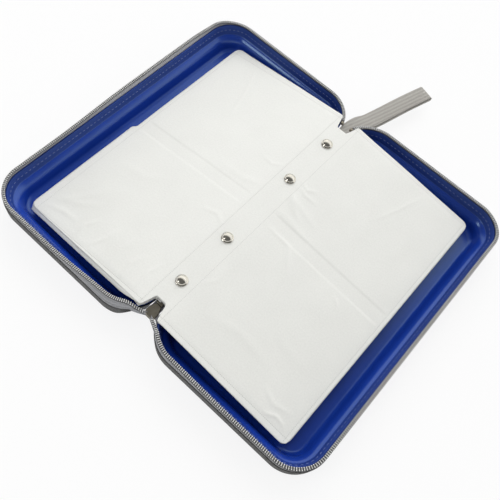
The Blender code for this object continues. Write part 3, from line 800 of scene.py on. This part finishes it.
class ZIPCASE_OT_teeth(Operator):
    """Coils the row of slanted teeth along the top of each tape"""

    bl_idname = "zipcase.teeth"
    bl_label = "Zip teeth"

    def execute(self, context):
        finish = teeth_nylon()
        # Painted shade: the cord takes the tape's colour darkened to 0.28, standing in for the
        # shade in the gaps between the teeth, over a real filler cord.
        shaded = [c * 0.28 for c in colours().tape]
        dark = woven("coil_cord_painted_shade", shaded, 0.0005, 0.0001)
        tooth = self.tooth()
        for name, side in SIDES:
            shape = bmesh.new()
            for point, out in every(split_straights(zip_route(0.0)[1:]), sizes().tooth_pitch):
                along = Vector((-out.y, out.x, 0))
                turn = Matrix((flat(out), along, UP)).transposed().to_4x4()
                place = self.coil_place(side, point, out, TEETH_RISE)
                add_copy(shape, tooth, Matrix.Translation(place) @ turn)
            teeth = new_object(name + "_teeth", mirrored(shape, side), finish)
            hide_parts(name + "_zip_chain")
            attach(teeth, name + "_cover")
            cord = new_object(name + "_coil_cord", mirrored(self.cord(side), side), dark)
            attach(cord, name + "_cover")
        return {"FINISHED"}

    def coil_place(self, side, point, out, rise):
        """The coil's place beside a point of the zip's route, at a rise above the rim."""
        inward, upward = lean(side, point, out)
        return Vector((point.x, point.y, RIM_Z + rise + upward)) + flat(out) * (COIL_OUT - inward)

    def cord(self, side):
        """The cord that the coil is wound round, seen between its teeth, darkened with painted
        shade for the gaps between them.
        """
        frames = [
            (self.coil_place(side, point, out, CORD_RISE), flat(out), UP)
            for point, out in split_straights(zip_route(0.0)[1:])
        ]
        ring = [(-0.0013, -0.0012), (0.0016, -0.0013), (0.0016, -0.0005), (0.0011, -0.0002)]
        ring += [(-0.0010, -0.0002), (-0.0013, -0.0005)]
        return sweep_along(frames, lambda number: ring)

    def tooth(self):
        """One loop of the coil: a slanted bar between two rounded heads."""
        shape = bead((0.00130, 0.00028, 0.00050), 6)
        head = as_mesh(bead((0.00052, 0.00042, 0.00066), 7), "tooth_head")
        for place in (-0.00090, 0.00085):
            add_copy(shape, head, Matrix.Translation((place, 0, 0)))
        slant = Matrix.Rotation(math.radians(4), 3, "Z")
        bmesh.ops.rotate(shape, cent=(0, 0, 0), matrix=slant, verts=shape.verts)
        return as_mesh(shape, "tooth")


class ZIPCASE_OT_bindings(Operator):
    """Wraps the dark ribbed binding round the free sides of each cover"""

    bl_idname = "zipcase.bindings"
    bl_label = "Edge bindings"

    def execute(self, context):
        finish = woven("binding_weave", colours().binding, 0.0006, 0.00015)
        for name, side in SIDES:
            binding = new_object(name + "_binding", mirrored(self.binding(), side), finish, 60.0)
            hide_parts(name + "_edge_binding")
            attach(binding, name + "_cover")
        return {"FINISHED"}

    def binding(self):
        ribs = 8
        top, low = -0.0030, -0.0140
        route = split_straights(lip_route(0.0, BINDING_STOP_ANGLE + 12, BINDING_STOP_ANGLE))
        frames = upright_frames(route)
        section = [(0.0034, low), (0.0034, top), (0.0038, top + 0.0002)]
        for step in range(2 * ribs + 1):
            high = top + (low - top) * step / (2 * ribs)
            section.append((0.0044 if step % 2 else 0.0041, high))

        def faded(number):
            past = math.degrees(math.asin(min(1.0, max(0.0, -route[number][1].x))))
            near = route[number][1].y < 0
            share = smooth_step(BINDING_STOP_ANGLE - 22, BINDING_STOP_ANGLE + 12, past) * near
            return [(o - 0.0006 * share, h * (1 - 0.74 * share)) for o, h in section]

        return sweep_along(frames, faded)


# Folds in the top leaves: (x, y) places as on the right-hand side, a height and a half width
FOLDS = {
    "right": [
        (((0.010, 0.044), (0.018, 0.041), (0.026, 0.047)), 0.0007, 0.0016),
        (((0.011, 0.040), (0.020, 0.036), (0.034, 0.037)), 0.0006, 0.0018),
        (((0.009, 0.032), (0.020, 0.020), (0.034, 0.012)), 0.0007, 0.0028),
        (((0.009, 0.026), (0.024, 0.024), (0.048, 0.018)), 0.0006, 0.0032),
        (((0.009, 0.008), (0.026, 0.008), (0.052, 0.004)), 0.0005, 0.0030),
        (((0.010, -0.008), (0.040, -0.010), (0.055, -0.030), (0.060, -0.050)), 0.0007, 0.0022),
        (((0.095, -0.015), (0.100, -0.019), (0.103, -0.025)), 0.0008, 0.0012),
        (((0.052, 0.118), (0.064, 0.088), (0.075, 0.060)), 0.0006, 0.0016),
        (((0.095, 0.118), (0.086, 0.088), (0.075, 0.060)), 0.0006, 0.0016),
        (((0.112, -0.124), (0.122, -0.119), (0.132, -0.121)), 0.0009, 0.0014),
        (((0.100, -0.108), (0.114, -0.114), (0.130, -0.110)), 0.0006, 0.0022),
        (((0.030, -0.100), (0.060, -0.092), (0.100, -0.096)), 0.0005, 0.0040),
        (((0.070, -0.060), (0.090, -0.075), (0.120, -0.078)), 0.0005, 0.0040),
        (((0.012, -0.086), (0.020, -0.074), (0.018, -0.058)), 0.0005, 0.0020),
        (((0.100, 0.030), (0.112, 0.060), (0.110, 0.090)), 0.0005, 0.0042),
    ],
    "left": [
        (((0.108, 0.118), (0.096, 0.088), (0.088, 0.060)), 0.0008, 0.0018),
        (((0.020, -0.092), (0.024, -0.106), (0.022, -0.122)), 0.0006, 0.0018),
        (((0.036, -0.096), (0.040, -0.110), (0.037, -0.124)), 0.0006, 0.0020),
        (((0.052, -0.090), (0.056, -0.106), (0.054, -0.122)), 0.0005, 0.0022),
        (((0.070, -0.094), (0.072, -0.108), (0.078, -0.122)), 0.0006, 0.0020),
        (((0.088, -0.098), (0.094, -0.110), (0.092, -0.122)), 0.0005, 0.0018),
        (((0.096, -0.086), (0.112, -0.098), (0.128, -0.106)), 0.0005, 0.0036),
        (((0.100, -0.112), (0.118, -0.113), (0.136, -0.118)), 0.0005, 0.0026),
        (((0.104, -0.072), (0.118, -0.094), (0.134, -0.112)), 0.0004, 0.0032),
        (((0.012, 0.046), (0.022, 0.040), (0.034, 0.042)), 0.0006, 0.0018),
        (((0.010, -0.036), (0.022, -0.030), (0.036, -0.034)), 0.0006, 0.0020),
        (((0.012, 0.018), (0.030, 0.012), (0.058, 0.012)), 0.0005, 0.0034),
        (((0.040, 0.080), (0.060, 0.066), (0.066, 0.044)), 0.0004, 0.0040),
        (((0.076, -0.030), (0.094, -0.044), (0.120, -0.046)), 0.0004, 0.0042),
    ],
}


FOLD_LINES = {
    name: [([Vector(point) for point in points], height, width) for points, height, width in rows]
    for name, rows in FOLDS.items()
}
FOLD_STRENGTH = 0.42


def fold_height(side_name, x, y):
    """How much the folds raise a top leaf at a place, in metres."""
    here = Vector((x, y))
    total = 0.0
    for points, height, width in FOLD_LINES[side_name]:
        spans = len(points) - 1
        best, along = 1.0, 0.0
        for number, (start, end) in enumerate(zip(points, points[1:])):
            run = end - start
            share = min(1.0, max(0.0, (here - start).dot(run) / run.length_squared))
            distance = (here - start - run * share).length
            if distance < best:
                best, along = distance, (number + share) / spans
        if best < 3 * width:
            fade = math.exp(-((best / width) ** 2)) * math.sin(math.pi * along) ** 0.7
            total += FOLD_STRENGTH * height * fade
    return total


class ZIPCASE_OT_leaves(Operator):
    """Lays the riveted leaves: a creased top leaf on each side, over a spread of lower ones"""

    bl_idname = "zipcase.leaves"
    bl_label = "Leaves"

    def execute(self, context):
        top_film = leaf_film("leaf_film_top", True)
        low_film = leaf_film("leaf_film_low", False)
        for name, side in SIDES:
            drop = sizes().left_drop if side < 0 else sizes().right_drop
            count = 6 if side < 0 else 9
            shape = bmesh.new()
            self.add_leaf(shape, name, side, drop, 1.0, (150, 270))
            top = self.finish_leaf(name + "_top_leaf", shape, side, top_film)
            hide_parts(name + "_sleeves")
            lower = bmesh.new()
            for number in range(count):
                level = number / count
                self.add_leaf(lower, name, side, drop, level, (40, 60))
            pile = self.finish_leaf(name + "_lower_leaves", lower, side, low_film)
            for piece in (top, pile):
                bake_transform(piece)
            if side > 0:
                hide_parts("sleeve_margin")
        return {"FINISHED"}

    def finish_leaf(self, name, shape, side, finish):
        piece = new_object(name, mirrored(shape, side), finish, 80.0)
        skin = piece.modifiers.new("Leaf thickness", "SOLIDIFY")
        skin.thickness = LEAF_THICKNESS
        skin.offset = -1.0
        return piece

    def add_leaf(self, shape, side_name, side, drop, level, grid):
        """One half leaf at a level from 0, the lowest, to 1, the top one."""
        layer = shape.loops.layers.uv.verify()
        made = bmesh.ops.create_grid(
            shape, x_segments=grid[0], y_segments=grid[1], size=0.5, calc_uvs=False
        )
        for vert in made["verts"]:
            u, v = vert.co.x + 0.5, vert.co.y + 0.5
            x, y = self.plan(side, u, v, level)
            vert.co = (x, y, self.height(side_name, side, x, y, drop, level))
        for face in {face for vert in made["verts"] for face in vert.link_faces}:
            for loop in face.loops:
                loop[layer].uv = (side * loop.vert.co.x, loop.vert.co.y)

    def plan(self, side, u, v, level):
        """Where a leaf's point lies in plan: notched beside the spine, rounded at its fore edge."""
        x_share = u**1.25
        near_reach = 0.0032 * (1 - smooth_step(0.440, 0.462, v)) if side < 0 else 0.0
        reach = LEAF_FORE_X - 0.0008 + near_reach - 0.0030 * (1 - level) ** 2
        if level < 1:
            reach -= 0.0012 * noise.noise(Vector((level * 31.0, side * 7.0, 0.5)))
        x = reach * x_share
        shift = (0.0035 if side < 0 else -0.0010) * x / LEAF_FORE_X
        shift += 0.0022 * (1 - level) * noise.noise(Vector((level * 17.0, side * 3.0, 2.5)))
        low, high = LEAF_LOW_Y + 0.0004, LEAF_HIGH_Y - 0.0004
        notch = NOTCH_DEPTH * (1 - smooth_step(NOTCH_HALF_FLOOR, NOTCH_HALF_MOUTH, x))
        corner = LEAF_CORNER
        past = max(0.0, x - (reach - corner))
        corner_cut = corner - math.sqrt(max(0.0, corner**2 - past**2))
        low += notch + corner_cut
        high -= notch + corner_cut
        if level < 1:
            peek = 0.0029 if side < 0 and level > 0.7 else -0.0026 * (1.4 - level)
            low -= peek * smooth_step(0.008, 0.030, x)
            high -= 0.0012
        return x, low + (high - low) * v + shift

    def height(self, side_name, side, x, y, drop, level):
        """How high a leaf's point lies: flat at the margin, then sloping down to its fore edge."""
        fore_low = FLOOR_Z + sizes().wall + 0.0009
        fore = fore_low + (RIM_Z - drop - fore_low) * level
        root = RIM_Z + 0.0007 + (MARGIN_TOP + 0.0001 - RIM_Z - 0.0007) * level
        slope_start = 0.0125
        share = max(0.0, (x - slope_start) / (LEAF_FORE_X - slope_start))
        z = root + (fore - root) * (share + 0.004 * math.sin(math.pi * share))
        free = smooth_step(0.006, 0.030, x)
        seed = side * 5.0 + level * 9.0
        wave = noise.noise(Vector((x * 22, y * 16, seed)))
        ripple = noise.noise(Vector((x * 60, y * 48, seed + 4)))
        z += free * sizes().wave * (wave + 0.35 * ripple)
        if level == 1:
            z += self.pockets(x, y) + fold_height(side_name, x, y) * smooth_step(0.006, 0.012, x)
        return z

    def pockets(self, x, y):
        """The film over each pocket stands a little proud of the welds round it."""
        across = smooth_step(POCKET_START_X - 0.0030, POCKET_START_X + 0.0030, x)
        across *= 1 - smooth_step(LEAF_FORE_X - 0.0100, LEAF_FORE_X - 0.0030, x)
        near = smooth_step(LEAF_LOW_Y + 0.0030, LEAF_LOW_Y + 0.0090, y)
        near *= 1 - smooth_step(CROSS_WELD[0] - 0.0020, CROSS_WELD[0], y)
        far = smooth_step(CROSS_WELD[1], CROSS_WELD[1] + 0.0020, y)
        far *= 1 - smooth_step(LEAF_HIGH_Y - 0.0090, LEAF_HIGH_Y - 0.0030, y)
        return 0.00022 * across * (near + far)


class ZIPCASE_OT_rivets(Operator):
    """Spins the domed rivet caps, each with a thin rolled edge"""

    bl_idname = "zipcase.rivets"
    bl_label = "Rivet caps"

    def execute(self, context):
        finish = plated_metal("rivet_plating", colours().metal, 0.10, 0.26)
        for number in range(1, 5):
            node = "rivet_cap_%d" % number
            low, high = (Vector(corner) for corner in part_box(node))
            centre = (low + high) / 2
            radius = (high.x - low.x) / 2
            seat = MARGIN_TOP + 0.0003
            rise = high.z - seat
            edge = 0.0009
            profile = [(0.0, low.z), (0.0020, low.z), (0.0020, seat), (radius - edge, seat)]
            profile += arc((radius - edge / 2, seat + edge / 2), edge / 2, -90, 60, 6)
            crown = radius - edge * 1.1
            for step in range(1, 13):
                angle = math.pi / 2 * step / 12
                level = seat + edge + (rise - edge) * math.sin(angle)
                profile.append((crown * math.cos(angle), level))
            shape = bmesh.new()
            chain = draw_chain(shape, [(centre.x + r, centre.y, z) for r, z in profile])
            bmesh.ops.spin(
                shape,
                geom=chain,
                cent=(centre.x, centre.y, 0),
                axis=(0, 0, 1),
                angle=math.tau,
                steps=48,
                use_merge=True,
                use_duplicate=False,
            )
            cap = new_object("rivet_head_%d" % number, close_shape(shape), finish, 50.0)
            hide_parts(node)
            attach(cap, "spine")
        return {"FINISHED"}


def softened_copy(node, name, finish, width):
    """A merged copy of a plain CAD node with its sharp edges rounded over."""
    shape = bmesh.new()
    shape.from_mesh(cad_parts[node].data)
    bmesh.ops.remove_doubles(shape, verts=shape.verts, dist=1e-6)
    bmesh.ops.dissolve_limit(
        shape, angle_limit=math.radians(2), verts=shape.verts, edges=shape.edges
    )
    sharp = [e for e in shape.edges if e.is_manifold and e.calc_face_angle() > math.radians(40)]
    bmesh.ops.bevel(
        shape,
        geom=sharp,
        offset=width,
        affect="EDGES",
        segments=2,
        profile=0.5,
        material=-1,
        clamp_overlap=True,
    )
    piece = new_object(name, shape, finish, 24.0)
    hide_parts(node)
    return piece


class ZIPCASE_OT_hardware(Operator):
    """Rounds over the slider, its pull tab and the stops, and plates them"""

    bl_idname = "zipcase.hardware"
    bl_label = "Slider and stops"

    def execute(self, context):
        finish = plated_metal("dull_plating", colours().slider, 0.30, 0.48)
        parts = [
            ("zip_slider", "slider_plates", "spine", 0.00035),
            ("zip_bottom_stop", "bottom_stop", "spine", 0.0004),
            ("pull_tab", "hanging_tab", "pull_tab", 0.00022),
            ("left_top_stop", "left_stop", "left_cover", 0.0004),
            ("right_top_stop", "right_stop", "right_cover", 0.0004),
        ]
        for node, name, body, width in parts:
            piece = softened_copy(node, name, finish, width)
            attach(piece, body)
        for number in range(1, 5):
            paint(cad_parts["rivet_base_%d" % number], finish)
        return {"FINISHED"}


def paint(node, finish):
    """Gives a CAD node that stays in view its own finish."""
    node.data.materials.clear()
    node.data.materials.append(finish)


class ZIPCASE_OT_spine(Operator):
    """Weaves the spine band and the strip that carries the leaves"""

    bl_idname = "zipcase.spine"
    bl_label = "Spine band"

    def execute(self, context):
        for node, name, colour, pitch, depth in (
            ("spine_band", "band_weave", colours().binding, 0.0008, 0.0002),
            ("sleeve_binding_strip", "strip_weave", colours().tape, 0.0006, 0.0001),
        ):
            paint(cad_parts[node], woven(name, colour, pitch, depth))
        return {"FINISHED"}


class ZIPCASE_OT_strap(Operator):
    """Folds one length of webbing into the wrist strap"""

    bl_idname = "zipcase.strap"
    bl_label = "Wrist strap"

    def execute(self, context):
        finish = self.webbing()
        frames = self.ribbon_frames()
        half_thick = 0.00052

        def section(number):
            edge = frames[number][3] / 2 - half_thick
            ring = arc((edge, 0.0), half_thick, 90, -90, 4)
            return ring + arc((-edge, 0.0), half_thick, -90, -270, 4)

        route = [(place, across, up) for place, across, up, _ in frames]
        strap = new_object("strap_webbing", sweep_along(route, section), finish, 60.0)
        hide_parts("wrist_strap")
        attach(strap, "spine")
        return {"FINISHED"}

    def centre_line(self, count=40):
        """Points of a smooth curve through the strap's route, root first."""
        route = [Vector((x, BAND_END_Y + beyond, z)) for x, beyond, z in STRAP_ROUTE]
        ends = [2 * route[0] - route[1]] + route + [2 * route[-1] - route[-2]]
        points = []
        for step in range(count + 1):
            place = min(step * (len(route) - 1) / count, len(route) - 1 - 1e-9)
            i = int(place)
            t = place - i
            a, b, c, d = ends[i : i + 4]
            square = 2 * a - 5 * b + 4 * c - d
            cube = 3 * b - a - 3 * c + d
            points.append((2 * b + (c - a) * t + square * t**2 + cube * t**3) / 2)
        return points

    def ribbon_frames(self):
        """(place, across, up, width) out along the upper layer, round the fold and back below."""
        line = self.centre_line()
        upper, lower = [], []
        walked = 0.0
        for i, point in enumerate(line):
            along = (line[min(i + 1, len(line) - 1)] - line[max(i - 1, 0)]).normalized()
            across = along.cross(Vector((0, 0, 1))).normalized()
            up = across.cross(along).normalized()
            walked += (point - line[i - 1]).length if i else 0.0
            share = min(1.0, walked / STRAP_SPREAD)
            spread = math.sin(share * math.pi / 2)
            width = STRAP_ROOT_WIDTH + (sizes().strap_width - STRAP_ROOT_WIDTH) * spread
            apart = 0.00054 + 0.0004 * smooth_step(0.004, 0.020, walked)
            slip = across * 0.0006 * smooth_step(0.01, 0.05, walked)
            upper.append((point + up * apart - slip, across, up, width))
            lower.append((point - up * apart + slip, -across, -up, width))
        tip, across, up, width = line[-1], upper[-1][1], upper[-1][2], upper[-1][3]
        along = up.cross(across)
        bend = []
        for step in range(1, 8):
            angle = math.pi * step / 8
            out = up * math.cos(angle) + along * math.sin(angle)
            turn = -up * math.sin(angle) + along * math.cos(angle)
            side = out.cross(turn) * (1 if out.cross(turn).dot(across) > 0 else -1)
            bend.append((tip + out * 0.00094, side, out, width))
        flipped = [(place, -back, down, wide) for place, back, down, wide in reversed(lower)]
        return upper + bend + flipped

    def webbing(self):
        """Herringbone webbing with a firm woven edge."""
        finish = Finish("strap_weave", colours().strap, 0.85, {"Sheen Weight": 0.3})
        place = finish.place()
        slant = finish.place(turn=math.radians(28))
        counter = finish.place(turn=math.radians(-52))
        rows = finish.bands(slant, 0.0011, "X", 0.3)
        picks = finish.bands(counter, 0.0013, "X", 0.3)
        fuzz = finish.noise(place, 900.0, 4.0)
        stripes = finish.bands(finish.place(turn=math.radians(15)), 0.0034)
        weave = finish.total((finish.math("MULTIPLY", rows, picks), 0.45), (stripes, 0.42))
        finish.tint(finish.total((weave, 0.7), (fuzz, 0.4)), 0.62, 1.32)
        finish.bump(weave, 0.00030)
        finish.bump(fuzz, 0.00006, 0.6)
        return finish.material


# The stage


class ZIPCASE_OT_stage(Operator):
    """Sets the pale floor, the soft lamps, the world and the camera"""

    bl_idname = "zipcase.stage"
    bl_label = "Stage"

    def execute(self, context):
        self.floor()
        self.world(context.scene)
        self.lamps()
        self.camera(context.scene)
        context.scene.view_settings.view_transform = "Standard"
        return {"FINISHED"}

    def floor(self):
        shape = bmesh.new()
        bmesh.ops.create_grid(shape, x_segments=4, y_segments=4, size=6.0)
        bmesh.ops.translate(shape, vec=(0, 0, FLOOR_Z - 0.0002), verts=shape.verts)
        finish = Finish("stage_floor", (0.86, 0.86, 0.86), 0.95)
        path = finish.node("ShaderNodeLightPath")
        glow = finish.node("ShaderNodeEmission", {"Color": (1, 1, 1, 1), "Strength": 1.0})
        seen = finish.math("MAXIMUM", path.outputs["Is Camera Ray"], path.outputs["Is Glossy Ray"])
        seen = finish.math("MAXIMUM", seen, path.outputs["Is Transmission Ray"])
        share = finish.math("MULTIPLY", seen, 0.86)
        links = {0: share, 1: finish.shader.outputs[0], 2: glow.outputs[0]}
        mix = finish.node("ShaderNodeMixShader", links)
        output = finish.tree.nodes["Material Output"]
        finish.tree.links.new(mix.outputs[0], output.inputs["Surface"])
        new_object("stage_floor", shape, finish.material)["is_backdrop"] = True

    def world(self, scene):
        """A sky that is white all along the horizon, bright beyond the case and dim above it."""
        world = bpy.data.worlds.new("soft_studio")
        world.use_nodes = True
        scene.world = world
        nodes = Nodes(world.node_tree)
        direction = nodes.node("ShaderNodeTexCoord").outputs["Generated"]
        links = {0: direction, 1: (-0.15, 0.85, -0.50)}
        slant = nodes.node("ShaderNodeVectorMath", links, operation="DOT_PRODUCT").outputs["Value"]
        sky = nodes.ramp(slant, -0.20, 0.15, 0.14, 1.25, interpolation_type="SMOOTHSTEP")
        height = nodes.node("ShaderNodeSeparateXYZ", {0: direction}).outputs["Z"]
        horizon = nodes.ramp(height, 0.20, 0.34, 1.0, 0.0)
        background = nodes.tree.nodes["Background"]
        background.inputs["Color"].default_value = (1, 1, 1, 1)
        nodes.tree.links.new(nodes.math("MAXIMUM", sky, horizon), background.inputs["Strength"])

    def lamps(self):
        """A large soft lamp beyond the case to the left, and weak ones round it."""
        for name, place, width, height, watts, seen_in_gloss in (
            ("key_softbox", (-0.50, 0.90, 1.20), 1.6, 1.6, 10.9, False),
            ("right_fill", (1.30, 0.30, 0.90), 1.2, 1.2, 3.5, False),
            ("overhead_softbox", (-0.25, -0.30, 1.30), 0.9, 0.9, 4.3, False),
            ("near_left_panel", (-0.66, -0.95, 0.85), 0.35, 0.5, 2.2, True),
        ):
            lamp = bpy.data.lights.new(name, "AREA")
            lamp.shape = "ELLIPSE"
            lamp.size = width
            lamp.size_y = height
            lamp.energy = watts
            holder = bpy.data.objects.new(name, lamp)
            holder.location = place
            holder.rotation_euler = (-Vector(place)).to_track_quat("-Z", "Y").to_euler()
            holder.visible_glossy = seen_in_gloss
            bpy.context.scene.collection.objects.link(holder)

    def camera(self, scene):
        azimuth, elevation, roll = (
            math.radians(angle) for angle in (CAMERA_AZIMUTH, CAMERA_ELEVATION, CAMERA_ROLL)
        )
        back = Vector((
            math.sin(azimuth) * math.cos(elevation),
            -math.cos(azimuth) * math.cos(elevation),
            math.sin(elevation),
        ))
        level = (-back).cross(Vector((0, 0, 1))).normalized()
        upright = level.cross(-back)
        right = level * math.cos(roll) + upright * math.sin(roll)
        up = -level * math.sin(roll) + upright * math.cos(roll)
        camera = bpy.data.cameras.new("photo_view")
        camera.lens = CAMERA_LENS
        camera.sensor_width = 36.0
        holder = bpy.data.objects.new("photo_view", camera)
        turn = Matrix((right, up, back)).transposed().to_4x4()
        place = Vector(CAMERA_TARGET) + Vector((0, 0, RIM_Z)) + back * CAMERA_DISTANCE
        holder.matrix_world = Matrix.Translation(place) @ turn
        scene.collection.objects.link(holder)
        scene.camera = holder


class ZIPCASE_PT_panel(Panel):
    """Lists the case's pieces, sizes and colours"""

    bl_label = "Open Zip Case"
    bl_idname = "ZIPCASE_PT_panel"
    bl_space_type = "VIEW_3D"
    bl_region_type = "UI"
    bl_category = "Zip Case"

    def draw(self, context):
        for group in (context.scene.zip_case_sizes, context.scene.zip_case_colours):
            box = self.layout.box()
            for name in group.__annotations__:
                box.prop(group, name)
        for operator in OPERATORS:
            self.layout.operator(operator.bl_idname)


OPERATORS = (
    ZIPCASE_OT_trays,
    ZIPCASE_OT_stitches,
    ZIPCASE_OT_tapes,
    ZIPCASE_OT_tape_ends,
    ZIPCASE_OT_teeth,
    ZIPCASE_OT_bindings,
    ZIPCASE_OT_leaves,
    ZIPCASE_OT_rivets,
    ZIPCASE_OT_hardware,
    ZIPCASE_OT_spine,
    ZIPCASE_OT_strap,
    ZIPCASE_OT_stage,
)
CLASSES = (ZIPCASE_PG_sizes, ZIPCASE_PG_colours, *OPERATORS, ZIPCASE_PT_panel)


def register():
    for each in CLASSES:
        bpy.utils.register_class(each)
    bpy.types.Scene.zip_case_sizes = PointerProperty(type=ZIPCASE_PG_sizes)
    bpy.types.Scene.zip_case_colours = PointerProperty(type=ZIPCASE_PG_colours)


def unregister():
    del bpy.types.Scene.zip_case_colours
    del bpy.types.Scene.zip_case_sizes
    for each in reversed(CLASSES):
        bpy.utils.unregister_class(each)


def main():
    register()
    bpy.ops.zipcase.trays()
    bpy.ops.zipcase.stitches()
    bpy.ops.zipcase.tapes()
    bpy.ops.zipcase.tape_ends()
    bpy.ops.zipcase.teeth()
    bpy.ops.zipcase.bindings()
    bpy.ops.zipcase.leaves()
    bpy.ops.zipcase.rivets()
    bpy.ops.zipcase.hardware()
    bpy.ops.zipcase.spine()
    bpy.ops.zipcase.strap()
    bpy.ops.zipcase.stage()
    boxes = {"cad": CAD_BOX, "visual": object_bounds()}
    boxes = {name: [list(map(float, corner)) for corner in box] for name, box in boxes.items()}


if __name__ == "__main__":
    main()
